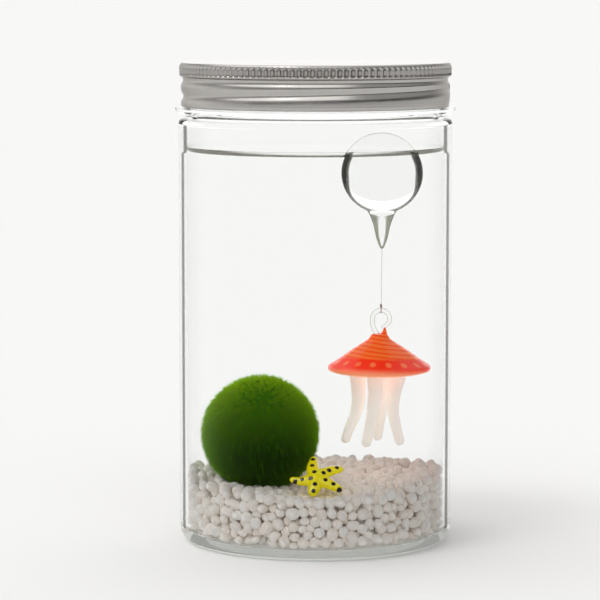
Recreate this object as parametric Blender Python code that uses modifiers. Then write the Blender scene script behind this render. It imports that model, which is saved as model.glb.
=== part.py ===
"""Marimo moss ball in a glass jar with a screw lid.

The jar holds water, a bed of white gravel, one moss ball, a glass starfish that
leans on the ball, and a glass jellyfish that hangs from a floating glass bubble.

Metres, +Z up. The jar stands on z = 0 and Z is its axis. The front is -Y.
"""

import math

import bmesh
import bpy
from mathutils import Matrix, Vector
from mathutils.geometry import delaunay_2d_cdt

MM = 0.001

# Driving sizes
GAP = 0.3 * MM
FACETS = 40
POCKET_FACETS = 16
POCKET_ROOM = 0.7 * MM
MERGE = 0.00001
SHARP_ANGLE = math.radians(40.0)

JAR_RADIUS = 42.5 * MM
JAR_WALL = 2.4 * MM
FLOOR_TOP = 3.2 * MM
FLOOR_CROWN = 0.4 * MM
HEEL_RADIUS = 5.2 * MM
FOOT_INNER_RADIUS = 33.0 * MM
PUSH_UP_RADIUS = 30.5 * MM
PUSH_UP = 1.2 * MM
SHOULDER_TOP = 131.8 * MM
NECK_RADIUS = 39.8 * MM
FLANGE_RADIUS = 43.6 * MM
FLANGE_TOP = 135.4 * MM
FINISH_RADIUS = 39.2 * MM
BORE_RADIUS = 37.0 * MM

LID_RADIUS = 42.25 * MM
LID_WALL_RADIUS = 41.8 * MM
LID_WAIST = 41.0 * MM
LID_BORE = 40.3 * MM
LID_TOP = 149.5 * MM
LID_SHEET = 0.5 * MM
LINER_THICKNESS = 0.7 * MM
FLUTES = 128
FLUTE_DEPTH = 0.45 * MM
FLUTES_LOW = 145.4 * MM
FLUTES_HIGH = 148.6 * MM

THREAD_PITCH = 6.0 * MM
THREAD_LEFT_HEIGHT = 140.1 * MM
THREAD_BEAD = 0.8 * MM
GROOVE_ROD = 1.3 * MM

WATER_TOP = 122.0 * MM
MENISCUS = 1.6 * MM

BALL_CENTRE = Vector((-16.9, -8.0, 34.4)) * MM
BALL_RADIUS = 18.6 * MM

STAR_CENTRE = Vector((0.4, -25.0, 23.4)) * MM
STAR_TILT = math.radians(38.0)
STAR_THICKNESS = 2.5 * MM

FLOAT_CENTRE = Vector((20.6, 0.0, 115.0)) * MM
FLOAT_RADIUS = 12.6 * MM
NOSE_TIP = 91.3 * MM

EYE_CENTRE = Vector((20.4, 0.0, 69.4)) * MM
EYE_RADIUS = 2.65 * MM
EYE_ROD = 0.72 * MM

LINE_RADIUS = 0.15 * MM

LUMP_STEP = 6.2 * MM
LUMP_DEPTH = 3.2 * MM
LUMP_COLUMNS = 39

BELL_X = 19.9 * MM
BELL_TOP = 64.6 * MM
BELL_RADIUS = 16.0 * MM
BELL_UNDERSIDE = 52.4 * MM

# Sizes worked out from them
INNER_RADIUS = JAR_RADIUS - JAR_WALL
FILL_RADIUS = INNER_RADIUS - GAP
LINER_TOP = LID_TOP - LID_SHEET - GAP
LINER_BOTTOM = LINER_TOP - LINER_THICKNESS
RIM = LINER_BOTTOM - GAP
LID_EDGE = FLANGE_TOP + GAP
INNER_HEEL = HEEL_RADIUS - 2.0 * MM


def clear_scene():
    for old in list(bpy.data.objects):
        bpy.data.objects.remove(old, do_unlink=True)


def new_collection(name):
    collection = bpy.data.collections.new(name)
    bpy.context.scene.collection.children.link(collection)
    return collection


def new_material(name, colour, roughness, metallic=0.0, transmission=0.0):
    material = bpy.data.materials.new(name)
    material.use_nodes = True
    shader = material.node_tree.nodes["Principled BSDF"]
    shader.inputs["Base Color"].default_value = (*colour, 1.0)
    shader.inputs["Roughness"].default_value = roughness
    shader.inputs["Metallic"].default_value = metallic
    shader.inputs["Transmission Weight"].default_value = transmission
    material.diffuse_color = (*colour, 1.0)
    return material


def place(name, data, collection, material=None):
    piece = bpy.data.objects.new(name, data)
    collection.objects.link(piece)
    if material:
        data.materials.append(material)
    return piece


def hide_as_cutter(piece):
    piece.hide_render = True
    piece.display_type = "WIRE"
    return piece


def smooth(piece):
    piece.data.shade_smooth()
    piece.data.set_sharp_from_angle(angle=SHARP_ANGLE)


def arc(centre, radius, first, last, count):
    """Points (r, z) on an arc; the angles are in degrees from +r."""
    for index in range(count):
        angle = math.radians(first + (last - first) * index / (count - 1))
        yield centre[0] + radius * math.cos(angle), centre[1] + radius * math.sin(angle)


def turned(name, profile, collection, material=None, facets=FACETS, centre=(0.0, 0.0)):
    """A profile of (r, z) points, down its outer side, turned round a vertical axis."""
    mesh = bpy.data.meshes.new(name)
    points = [(radius, 0.0, height) for radius, height in profile]
    edges = [(index, index + 1) for index in range(len(points) - 1)]
    mesh.from_pydata(points, edges, [])
    piece = place(name, mesh, collection, material)
    piece.location = (centre[0], centre[1], 0.0)
    screw = piece.modifiers.new("Turn", "SCREW")
    screw.steps = facets
    screw.render_steps = facets
    screw.use_merge_vertices = True
    screw.merge_threshold = MERGE
    screw.use_smooth_shade = True
    return piece


def applied(piece):
    """Make the evaluated shape of a piece its own mesh, with its seams welded."""
    bpy.context.view_layer.update()
    graph = bpy.context.evaluated_depsgraph_get()
    mesh = bpy.data.meshes.new_from_object(piece.evaluated_get(graph))
    mesh.name = piece.name
    shape = bmesh.new()
    shape.from_mesh(mesh)
    bmesh.ops.remove_doubles(shape, verts=shape.verts, dist=MERGE)
    shape.to_mesh(mesh)
    shape.free()
    if piece.type == "CURVE":
        name = piece.name
        solid = bpy.data.objects.new(name, mesh)
        solid.matrix_world = piece.matrix_world
        piece.users_collection[0].objects.link(solid)
        bpy.data.objects.remove(piece)
        solid.name = name
        return solid
    piece.modifiers.clear()
    piece.data = mesh
    return piece


def combine(piece, other, operation):
    boolean = piece.modifiers.new(operation.title() + " " + other.name, "BOOLEAN")
    boolean.operation = operation
    boolean.solver = "EXACT"
    boolean.object = hide_as_cutter(other)


def rod(name, points, collection, radii, resolution=2, material=None):
    """A round rod along its points, with a radius at each point and flat ends."""
    curve = bpy.data.curves.new(name, "CURVE")
    curve.dimensions = "3D"
    curve.bevel_depth = 1.0
    curve.bevel_resolution = resolution
    curve.use_fill_caps = True
    spline = curve.splines.new("POLY")
    spline.points.add(len(points) - 1)
    for point, position, radius in zip(spline.points, points, radii):
        point.co = (*position, 1.0)
        point.radius = radius
    return place(name, curve, collection, material)


def helix(radius, left_height, first, last, per_turn):
    """Points on a right-hand helix that has left_height on its -X side."""
    count = round((last - first) * per_turn)
    points = []
    for index in range(count + 1):
        turn = first + (last - first) * index / count
        angle = 2.0 * math.pi * turn
        height = left_height + THREAD_PITCH * (turn - 0.5)
        points.append((radius * math.cos(angle), radius * math.sin(angle), height))
    return points


def run_out(count, radius, ends):
    """Radii along a bead or groove that fades out over its first and last points."""
    return [radius * min(1.0, (min(i, count - 1 - i) + 0.3) / ends) for i in range(count)]


def jar_profile():
    yield 0.0, FLOOR_TOP + FLOOR_CROWN
    corner = (INNER_RADIUS - INNER_HEEL, FLOOR_TOP + INNER_HEEL)
    yield from arc(corner, INNER_HEEL, -90.0, 0.0, 3)
    yield INNER_RADIUS, SHOULDER_TOP - 3.0 * MM
    yield INNER_RADIUS - 0.7 * MM, SHOULDER_TOP - 1.2 * MM
    yield BORE_RADIUS, SHOULDER_TOP + 0.6 * MM
    yield BORE_RADIUS, RIM
    yield FINISH_RADIUS - 0.5 * MM, RIM
    yield FINISH_RADIUS, RIM - 0.4 * MM
    yield FINISH_RADIUS, FLANGE_TOP
    yield FLANGE_RADIUS - 0.7 * MM, FLANGE_TOP
    yield FLANGE_RADIUS, FLANGE_TOP - 0.4 * MM
    yield JAR_RADIUS - 0.6 * MM, SHOULDER_TOP + 1.5 * MM
    yield NECK_RADIUS, SHOULDER_TOP + 1.1 * MM
    yield NECK_RADIUS, SHOULDER_TOP + 0.3 * MM
    yield JAR_RADIUS - 0.7 * MM, SHOULDER_TOP
    yield JAR_RADIUS, SHOULDER_TOP - 0.7 * MM
    yield from arc((JAR_RADIUS - HEEL_RADIUS, HEEL_RADIUS), HEEL_RADIUS, 0.0, -90.0, 4)
    yield FOOT_INNER_RADIUS, 0.0
    yield PUSH_UP_RADIUS, 0.7 * PUSH_UP
    yield 0.0, PUSH_UP


def make_jar(collection, cutters):
    glass = new_material("clear_glass", (0.93, 0.95, 0.94), 0.02, transmission=1.0)
    jar = turned("glass_jar", list(jar_profile()), collection, glass)
    points = helix(FINISH_RADIUS, THREAD_LEFT_HEIGHT + THREAD_PITCH / 2.0, -0.1, 0.95, 14)
    radii = run_out(len(points), THREAD_BEAD, 3)
    thread = applied(rod("jar_thread", points, cutters, radii, 1))
    combine(jar, thread, "UNION")
    return jar


def lid_profile():
    wall = LID_WALL_RADIUS
    yield 0.0, LID_TOP
    yield LID_RADIUS - 2.3 * MM, LID_TOP
    yield LID_RADIUS - 0.9 * MM, LID_TOP - 0.4 * MM
    yield LID_RADIUS - 0.9 * MM, FLUTES_LOW - 0.2 * MM
    yield LID_WAIST, FLUTES_LOW - 1.5 * MM
    yield wall, FLUTES_LOW - 2.7 * MM
    yield wall, LID_EDGE + 0.6 * MM
    yield wall - 0.3 * MM, LID_EDGE
    yield LID_BORE, LID_EDGE
    yield LID_BORE, LID_TOP - LID_SHEET
    yield 0.0, LID_TOP - LID_SHEET


def fluted_ring(collection):
    """The grip band: a disc whose edge is drawn in at every other point."""
    mesh = bpy.data.meshes.new("grip_band")
    shape = bmesh.new()
    bmesh.ops.create_cone(
        shape,
        cap_ends=True,
        segments=2 * FLUTES,
        radius1=LID_RADIUS,
        radius2=LID_RADIUS,
        depth=FLUTES_HIGH - FLUTES_LOW,
    )
    inward = (LID_RADIUS - FLUTE_DEPTH) / LID_RADIUS
    for corner in shape.verts:
        angle = math.atan2(corner.co.y, corner.co.x)
        if round(angle / (math.pi / FLUTES)) % 2:
            corner.co.x *= inward
            corner.co.y *= inward
        corner.co.z += (FLUTES_LOW + FLUTES_HIGH) / 2.0
    shape.to_mesh(mesh)
    shape.free()
    return place("grip_band", mesh, collection)


def make_lid(collection, cutters):
    metal = new_material("spun_aluminium", (0.62, 0.60, 0.57), 0.35, metallic=1.0)
    lid = turned("screw_lid", list(lid_profile()), collection, metal)
    band = fluted_ring(cutters)
    hollow = turned(
        "lid_hollow",
        [
            (0.0, LID_TOP - LID_SHEET),
            (LID_BORE, LID_TOP - LID_SHEET),
            (LID_BORE, LID_EDGE - MM),
            (0.0, LID_EDGE - MM),
        ],
        cutters,
    )
    combine(band, hollow, "DIFFERENCE")
    combine(lid, band, "UNION")
    points = helix(LID_WALL_RADIUS + 0.5 * MM, THREAD_LEFT_HEIGHT, -0.05, 1.0, 20)
    groove = applied(rod("rolled_groove", points, cutters, run_out(len(points), GROOVE_ROD, 2), 1))
    combine(lid, groove, "DIFFERENCE")
    return lid


def make_liner(collection):
    white = new_material("white_liner", (0.9, 0.9, 0.88), 0.6)
    radius = LID_BORE - 0.5 * MM
    profile = [(0.0, LINER_TOP), (radius, LINER_TOP), (radius, LINER_BOTTOM), (0.0, LINER_BOTTOM)]
    return turned("lid_liner", profile, collection, white, 28)


def bed_height(x, y):
    """Top of the gravel: heaped at the sides, low in front and round the starfish."""
    across = x / FILL_RADIUS
    back = y / FILL_RADIUS
    from_star = math.hypot(x - STAR_CENTRE.x, y - STAR_CENTRE.y + 3.0 * MM)
    dip = math.exp(-((from_star / (11.0 * MM)) ** 2))
    rise = 4.3 * across**2 + 0.2 * across + 0.9 * back**2 + 0.45 * back
    return (18.9 + rise - 1.5 * dip) * MM


def follow_bed(piece, flat_height, lift):
    """Move a mesh's points at flat_height to the top of the gravel."""
    for point in piece.data.vertices:
        if abs(point.co.z - flat_height) < MERGE:
            point.co.z = bed_height(point.co.x, point.co.y) + lift


def bed_rings(height):
    for share in (0.0, 0.35, 0.7, 1.0):
        yield FILL_RADIUS * share, height


def moss_shape(name, collection, grow, material=None):
    """The ball, a little uneven, and grow larger all over."""
    mesh = bpy.data.meshes.new(name)
    shape = bmesh.new()
    bmesh.ops.create_uvsphere(shape, u_segments=20, v_segments=12, radius=1.0)
    for point in shape.verts:
        x, y, z = point.co
        lumps = 0.5 * math.sin(4.0 * x + 1.0) + 0.5 * math.sin(5.0 * y) * math.cos(3.0 * z)
        point.co *= BALL_RADIUS * (1.0 + 0.012 * lumps) + grow
    shape.to_mesh(mesh)
    shape.free()
    ball = place(name, mesh, collection, material)
    ball.location = BALL_CENTRE
    ball.rotation_euler = (math.radians(20.0), 0.0, math.radians(10.0))
    return ball


def star_outline():
    """Round the star in its own plane: the notch before each arm, then its two tip points."""
    arms = ((96.0, 8.9), (24.0, 9.0), (-37.0, 9.8), (-102.0, 8.0), (-172.0, 8.8))
    notches = ((150.0, 3.0), (70.0, 3.4), (0.0, 4.0), (-72.0, 4.6), (-128.0, 4.6))
    for (arm, reach), (notch, depth) in zip(arms, notches):
        yield notch, depth * MM
        yield arm + 9.0, reach * MM
        yield arm - 9.0, reach * MM


def star_shape(name, collection, grow, material=None):
    """A star cage rounded by subdivision; it leans back with its lower arms forward."""
    outline = list(star_outline())
    half = STAR_THICKNESS / 2.0 + grow
    shape = bmesh.new()
    middles = [shape.verts.new((0.0, 0.0, side * half * 1.5)) for side in (1.0, -1.0)]
    rings = []
    for side in (1.0, -1.0):
        ring = []
        for angle, reach in outline:
            turn = math.radians(angle)
            flat = Vector((math.cos(turn), math.sin(turn), 0.0)) * (reach + grow)
            ring.append(shape.verts.new(flat + Vector((0.0, 0.0, side * half))))
        rings.append(ring)
    count = len(outline)
    for middle, ring in zip(middles, rings):
        for start in range(0, count, 3):
            notch = ring[start]
            following = ring[(start + 3) % count]
            shape.faces.new((notch, ring[start + 1], ring[start + 2], following))
            shape.faces.new((middle, notch, following))
    for index in range(count):
        after = (index + 1) % count
        shape.faces.new((rings[0][index], rings[0][after], rings[1][after], rings[1][index]))
    bmesh.ops.recalc_face_normals(shape, faces=shape.faces)
    mesh = bpy.data.meshes.new(name)
    shape.to_mesh(mesh)
    shape.free()
    star = place(name, mesh, collection, material)
    star.location = STAR_CENTRE
    star.rotation_euler = (STAR_TILT, 0.0, 0.0)
    rounding = star.modifiers.new("Round", "SUBSURF")
    rounding.levels = 1
    rounding.render_levels = 1
    return star


def lump_dent(column, row, point):
    """How far a point of the bed lies below its lumps' crowns; each third point is a crown."""
    jitter = 0.5 + 0.5 * math.sin(12.9 * column + 78.2 * row)
    if (column - row) % 3 == 0:
        return 0.5 * MM * jitter
    from_star = math.hypot(point.x - STAR_CENTRE.x, point.y - STAR_CENTRE.y)
    near_star = math.exp(-((from_star / (8.0 * MM)) ** 2))
    return LUMP_DEPTH * (0.85 + 0.15 * jitter) * (1.0 - 0.8 * near_star)


def lumpy_top():
    """Points over the bed inside its rim, on a lattice of triangles, and their dents."""
    limit = FILL_RADIUS - 0.55 * LUMP_STEP
    rows = int(FILL_RADIUS / LUMP_STEP) + 2
    for row in range(-rows, rows + 1):
        for column in range(-2 * rows, 2 * rows + 1):
            x = (column + 0.5 * row) * LUMP_STEP
            y = row * LUMP_STEP * math.sqrt(3.0) / 2.0
            x += 0.12 * LUMP_STEP * math.sin(5.1 * column + 2.3 * row)
            y += 0.12 * LUMP_STEP * math.sin(3.7 * row - 4.4 * column)
            if math.hypot(x, y) < limit:
                point = Vector((x, y, bed_height(x, y)))
                point.z -= lump_dent(column, row, point)
                yield point


def lumpy_ring(row, drop):
    """Points round the bed's side, drop below its rim."""
    for column in range(LUMP_COLUMNS):
        turn = 2.0 * math.pi * (column + 0.5 * row) / LUMP_COLUMNS
        rim = Vector((math.cos(turn), math.sin(turn), 0.0)) * FILL_RADIUS
        dent = lump_dent(column, row, rim)
        point = rim * (1.0 - dent / FILL_RADIUS)
        point.z = bed_height(rim.x, rim.y) - drop
        if row == 0:
            point.z -= 0.5 * dent
        yield point


def heap_shape(collection, material):
    """The loose grains' outer form: lumps over the top and round the side, on a flat base."""
    rim = list(lumpy_ring(0, 0.0))
    flat = [point.to_2d() for point in rim]
    inside = list(lumpy_top())
    flat += [point.to_2d() for point in inside]
    edges = [(column, (column + 1) % LUMP_COLUMNS) for column in range(LUMP_COLUMNS)]
    corners, _, triangles, _, _, _ = delaunay_2d_cdt(flat, edges, [], 1, MERGE)
    shape = bmesh.new()
    heights = {(round(p.x, 6), round(p.y, 6)): p.z for p in rim + inside}
    top = [shape.verts.new((p.x, p.y, heights[round(p.x, 6), round(p.y, 6)])) for p in corners]
    for triangle in triangles:
        shape.faces.new([top[index] for index in triangle])
    heel = (INNER_RADIUS - INNER_HEEL, FLOOR_TOP + INNER_HEEL)
    base = list(arc(heel, INNER_HEEL - GAP, -45.0, -90.0, 2))[0]
    rings = [top[: len(rim)]]
    for row, drop in ((1, 4.6 * MM), (2, 9.2 * MM)):
        rings.append([shape.verts.new(point) for point in lumpy_ring(row, drop)])
    foot = []
    for column in range(LUMP_COLUMNS):
        turn = 2.0 * math.pi * (column + 1.0) / LUMP_COLUMNS
        foot.append(shape.verts.new((base[0] * math.cos(turn), base[0] * math.sin(turn), base[1])))
    rings.append(foot)
    for number, (upper, lower) in enumerate(zip(rings, rings[1:])):
        for column in range(LUMP_COLUMNS):
            after = (column + 1) % LUMP_COLUMNS
            if number == 2:
                shape.faces.new((upper[column], lower[column], lower[after], upper[after]))
            else:
                shape.faces.new((upper[column], lower[column], upper[after]))
                shape.faces.new((lower[column], lower[after], upper[after]))
    middle = shape.verts.new((0.0, 0.0, FLOOR_TOP + FLOOR_CROWN + GAP))
    for column in range(LUMP_COLUMNS):
        shape.faces.new((foot[(column + 1) % LUMP_COLUMNS], foot[column], middle))
    bmesh.ops.recalc_face_normals(shape, faces=shape.faces)
    mesh = bpy.data.meshes.new("gravel_bed")
    shape.to_mesh(mesh)
    shape.free()
    return place("gravel_bed", mesh, collection, material)


def make_gravel(collection, ball_space, star_space):
    stone = new_material("white_gravel", (0.80, 0.75, 0.69), 0.75)
    bed = heap_shape(collection, stone)
    combine(bed, ball_space, "DIFFERENCE")
    combine(bed, star_space, "DIFFERENCE")
    return bed


def float_profile(grow, steps):
    """A bubble whose lower end is drawn out into a nose."""
    centre = (0.0, FLOAT_CENTRE.z)
    yield 0.0, FLOAT_CENTRE.z + FLOAT_RADIUS + grow
    yield from list(arc(centre, FLOAT_RADIUS + grow, 90.0, -68.0, steps))[1:]
    yield 3.5 * MM + grow, NOSE_TIP + 10.2 * MM
    yield 1.9 * MM + grow, NOSE_TIP + 5.2 * MM
    yield 0.6 * MM + grow, NOSE_TIP + 0.3 * MM - grow
    yield 0.0, NOSE_TIP - grow


def bell_profile(grow):
    """A flat-bottomed bell: narrow neck, sides that flare, rounded brim."""
    yield 0.0, BELL_TOP + grow
    yield 2.5 * MM + grow, BELL_TOP + grow
    yield 4.1 * MM + grow, BELL_TOP - 2.2 * MM + grow
    yield 7.7 * MM + grow, BELL_TOP - 4.5 * MM + grow
    yield 13.4 * MM + grow, BELL_TOP - 8.6 * MM + grow
    yield BELL_RADIUS - 0.6 * MM + grow, BELL_TOP - 9.9 * MM + grow
    yield BELL_RADIUS + grow, BELL_TOP - 10.7 * MM
    yield BELL_RADIUS - 1.1 * MM + grow, BELL_UNDERSIDE + 0.5 * MM - grow
    yield BELL_RADIUS - 4.5 * MM + grow, BELL_UNDERSIDE - grow
    yield 0.0, BELL_UNDERSIDE - grow


def tentacle_routes():
    """For each tentacle: its points (x, y, z) and radii, from the bell down."""
    top = BELL_UNDERSIDE - GAP
    left = ((13.2, -1.5), (13.4, -1.8), (13.4, -2.0), (12.6, -2.2), (10.9, -2.4), (9.5, -2.5))
    middle = ((18.4, -5.5), (18.6, -5.8), (18.2, -6.1), (17.6, -6.3), (16.7, -6.4), (15.8, -6.5))
    right = ((25.8, -1.0), (24.7, -1.3), (24.1, -1.5), (24.3, -1.6), (25.2, -1.7), (26.2, -1.8))
    behind = ((22.0, 5.5), (21.7, 5.7), (21.2, 5.9), (20.6, 6.0), (20.1, 6.1), (19.6, 6.2))
    tips = (28.0, 27.2, 27.0, 27.4)
    for route, tip in zip((left, middle, right, behind), tips):
        first = top - MM
        drop = first - tip * MM
        points = [Vector((route[0][0] * MM, route[0][1] * MM, top))]
        for index, (x, y) in enumerate(route):
            points.append(Vector((x * MM, y * MM, first - drop * index / len(route))))
        end = points[-1] * 2.0 - points[-2]
        points += [points[-1].lerp(end, 0.7), end]
        radii = [2.7, 2.55, 2.3, 2.1, 1.8, 1.6, 1.55, 1.35, 0.75]
        yield points, [radius * MM for radius in radii]


def make_tentacles(collection):
    frosted = new_material("frosted_glass", (0.80, 0.76, 0.71), 0.5, transmission=0.4)
    for number, (points, radii) in enumerate(tentacle_routes(), start=1):
        rod(f"jellyfish_tentacle_{number}", points, collection, radii, 2, frosted)


def eye_route():
    """The rod of the eye: up from the bell's left side and once round."""
    for across, down in ((-1.6, -4.1), (-2.2, -3.0), (-2.6, -1.5)):
        yield EYE_CENTRE + Vector((across, 0.0, down)) * MM
    for step in range(11):
        angle = math.radians(180.0 - 24.0 * step)
        yield EYE_CENTRE + Vector((math.cos(angle), 0.0, math.sin(angle))) * EYE_RADIUS


def make_eye(collection):
    clear = new_material("clear_eye_glass", (0.92, 0.92, 0.90), 0.05, transmission=0.9)
    points = list(eye_route())
    radii = [EYE_ROD] * (len(points) - 1) + [EYE_ROD * 0.5]
    return rod("jellyfish_eye", points, collection, radii, 1, clear)


def make_bell(collection, cutters):
    orange = new_material("orange_glass", (0.85, 0.10, 0.01), 0.12)
    profile = list(bell_profile(0.0))
    bell = turned("jellyfish_bell", profile, collection, orange, 28, (BELL_X, 0.0))
    peak = Vector((BELL_X + 1.5 * MM, 0.0, BELL_TOP))
    points = [peak - Vector((0.2 * MM, 0.0, MM)), peak + Vector((0.4 * MM, 0.0, 1.7 * MM))]
    combine(bell, applied(rod("drawn_peak", points, cutters, [1.2 * MM, 0.35 * MM], 1)), "UNION")
    return bell


def make_float(collection):
    clear = new_material("bubble_glass", (0.95, 0.96, 0.96), 0.02, transmission=1.0)
    centre = (FLOAT_CENTRE.x, FLOAT_CENTRE.y)
    return turned("glass_float", list(float_profile(0.0, 10)), collection, clear, 20, centre)


def make_line(collection, cutters):
    """The nylon line, from the nose to its knot and the loop round the eye."""
    nylon = new_material("nylon_line", (0.8, 0.8, 0.78), 0.4, transmission=0.5)
    rod_top = EYE_CENTRE + Vector((0.0, 0.0, EYE_RADIUS))
    loop_radius = EYE_ROD + GAP + LINE_RADIUS
    start = Vector((FLOAT_CENTRE.x, 0.0, NOSE_TIP - GAP))
    knot = rod_top + Vector((0.0, 0.0, loop_radius + 0.2 * MM))
    points = [start, knot.lerp(start, 0.1), knot, rod_top + Vector((0.0, 0.0, loop_radius))]
    radii = [LINE_RADIUS, LINE_RADIUS, 3.0 * LINE_RADIUS, 1.5 * LINE_RADIUS]
    line = applied(rod("hanging_line", points, collection, radii, 1, nylon))
    mesh = bpy.data.meshes.new("line_loop")
    shape = bmesh.new()
    bmesh.ops.create_circle(shape, segments=6, radius=LINE_RADIUS)
    upright = Matrix.Rotation(math.radians(90.0), 4, "X")
    out = Matrix.Translation((loop_radius, 0.0, 0.0))
    bmesh.ops.transform(shape, matrix=out @ upright, verts=shape.verts)
    bmesh.ops.spin(
        shape,
        geom=shape.verts[:] + shape.edges[:],
        cent=(0.0, 0.0, 0.0),
        axis=(0.0, 0.0, 1.0),
        steps=12,
        angle=2.0 * math.pi,
    )
    bmesh.ops.remove_doubles(shape, verts=shape.verts, dist=MERGE)
    bmesh.ops.recalc_face_normals(shape, faces=shape.faces)
    shape.to_mesh(mesh)
    shape.free()
    loop = place("line_loop", mesh, cutters)
    loop.rotation_euler = (0.0, math.radians(90.0), 0.0)
    loop.location = rod_top
    combine(line, loop, "UNION")
    return line


def water_profile():
    yield 0.0, WATER_TOP
    yield FILL_RADIUS - 1.8 * MM, WATER_TOP
    yield FILL_RADIUS, WATER_TOP + MENISCUS
    yield from reversed(list(bed_rings(FLOOR_TOP)))


def make_water(collection, cutters, ball_space, star_space):
    """Water from the gravel to its surface, with room for everything in it."""
    clear = new_material("water", (0.90, 0.95, 0.95), 0.0, transmission=1.0)
    water = applied(turned("water", list(water_profile()), collection, clear))
    follow_bed(water, FLOOR_TOP, GAP)
    room = POCKET_ROOM
    line_top = NOSE_TIP + MM
    line_low = EYE_CENTRE.z + 4.0 * MM
    line_room = [(0.0, line_top), (0.9 * MM, line_top), (0.9 * MM, line_low), (0.0, line_low)]
    eye_top = EYE_CENTRE.z + 5.0 * MM
    eye_room = [(0.0, eye_top), (4.3 * MM, eye_top), (4.3 * MM, BELL_TOP), (0.0, BELL_TOP)]
    hollows = (
        ("float_space", float_profile(room, 6), POCKET_FACETS, FLOAT_CENTRE.x),
        ("line_space", line_room, 6, EYE_CENTRE.x),
        ("eye_space", eye_room, 12, EYE_CENTRE.x),
        ("bell_space", bell_profile(room), POCKET_FACETS, BELL_X),
    )
    spaces = [ball_space, star_space]
    for name, profile, facets, x in hollows:
        spaces.append(turned(name, list(profile), cutters, None, facets, (x, 0.0)))
    for number, (points, radii) in enumerate(tentacle_routes(), start=1):
        points[0] += Vector((0.0, 0.0, room))
        points[-1] += (points[-1] - points[-2]).normalized() * room
        wider = [1.4 * radius + GAP for radius in radii]
        spaces.append(applied(rod(f"tentacle_space_{number}", points, cutters, wider, 0)))
    for space in spaces:
        combine(water, space, "DIFFERENCE")
    return water


def main():
    clear_scene()
    parts = new_collection("marimo_moss_ball_jar")
    cutters = new_collection("cutters")
    moss = new_material("moss", (0.05, 0.14, 0.01), 0.9)
    yellow = new_material("yellow_glass", (0.83, 0.73, 0.02), 0.1)
    ball_space = moss_shape("ball_space", cutters, GAP)
    star_space = star_shape("star_space", cutters, GAP * 1.5)
    pieces = [
        make_jar(parts, cutters),
        make_lid(parts, cutters),
        make_liner(parts),
        make_gravel(parts, ball_space, star_space),
        moss_shape("moss_ball", parts, 0.0, moss),
        star_shape("starfish", parts, 0.0, yellow),
        make_float(parts),
        make_line(parts, cutters),
        make_bell(parts, cutters),
        make_water(parts, cutters, ball_space, star_space),
    ]
    make_eye(parts)
    make_tentacles(parts)
    for piece in pieces:
        if piece.data.polygons:
            smooth(piece)


main()
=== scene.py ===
"""Marimo moss ball in a water-filled glass jar, with its gravel and glass ornaments.

Everything is in metres with +Z up. The jar stands on z = 0, Z is its axis and
the front is -Y. Each operator makes one piece, or one group of like pieces.
"""

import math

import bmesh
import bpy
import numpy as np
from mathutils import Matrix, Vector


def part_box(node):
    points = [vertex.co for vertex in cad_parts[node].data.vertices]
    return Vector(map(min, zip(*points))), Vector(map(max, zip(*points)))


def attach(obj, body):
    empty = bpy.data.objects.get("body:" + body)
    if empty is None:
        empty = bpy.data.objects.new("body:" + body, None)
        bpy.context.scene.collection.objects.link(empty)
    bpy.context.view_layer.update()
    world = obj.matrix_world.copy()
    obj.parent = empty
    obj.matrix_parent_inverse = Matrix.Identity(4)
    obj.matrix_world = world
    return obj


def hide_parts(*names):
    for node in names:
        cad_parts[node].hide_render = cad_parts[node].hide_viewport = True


bl_info = {
    "name": "Marimo moss ball jar",
    "version": (1, 0, 0),
    "blender": (4, 5, 0),
    "location": "3D View > Sidebar > Marimo",
    "description": "Makes a moss ball in a jar of water with gravel and glass ornaments",
    "category": "Add Mesh",
}

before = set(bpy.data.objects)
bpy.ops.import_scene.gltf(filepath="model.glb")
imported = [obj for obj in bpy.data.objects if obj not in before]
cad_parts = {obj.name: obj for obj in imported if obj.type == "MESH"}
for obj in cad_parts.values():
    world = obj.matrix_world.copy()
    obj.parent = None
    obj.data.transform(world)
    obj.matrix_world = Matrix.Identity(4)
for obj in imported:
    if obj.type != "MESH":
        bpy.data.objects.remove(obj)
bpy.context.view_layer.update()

MM = 0.001
TURN = 2.0 * math.pi
SEED = 7
SHARP = math.radians(40.0)

# Corners of the CAD nodes, as lowest and highest
JAR_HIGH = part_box("glass_jar")[1]
LID_LOW, LID_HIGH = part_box("screw_lid")
LINER_LOW, LINER_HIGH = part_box("lid_liner")
BALL_LOW, BALL_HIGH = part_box("moss_ball")
FLOAT_LOW, FLOAT_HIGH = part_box("glass_float")
BELL_LOW, BELL_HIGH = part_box("jellyfish_bell")

# Heights and radii of the jar, which the lid, water and gravel share
RIM = JAR_HIGH.z
FLOOR_TOP = 2.7 * MM
PUSH_UP = 1.2 * MM
SHOULDER_TOP = 131.8 * MM
FLANGE_TOP = 135.4 * MM
FLANGE_RADIUS = 43.6 * MM
NECK_RADIUS = 39.8 * MM
FINISH_RADIUS = 39.2 * MM
BORE_RADIUS = 37.0 * MM
BED_RADIUS = 39.8 * MM
WATER_TOP = 122.0 * MM

# Screw thread, which climbs to the right
THREAD_PITCH = 6.0 * MM
THREAD_LEFT_HEIGHT = 140.1 * MM
THREAD_BEAD = 0.78 * MM
THREAD_BEAD_WIDTH = 0.75 * MM
GROOVE_DROP = 1.1 * MM
GROOVE_WIDTH = 1.15 * MM

# Lid
FLUTES_LOW = 145.4 * MM
LID_BAND_RADIUS = 42.22 * MM
LID_WALL_RADIUS = 41.75 * MM
LID_BORE = 40.4 * MM
LID_SHEET = 0.5 * MM
STEPS_PER_FLUTE = 6

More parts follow.
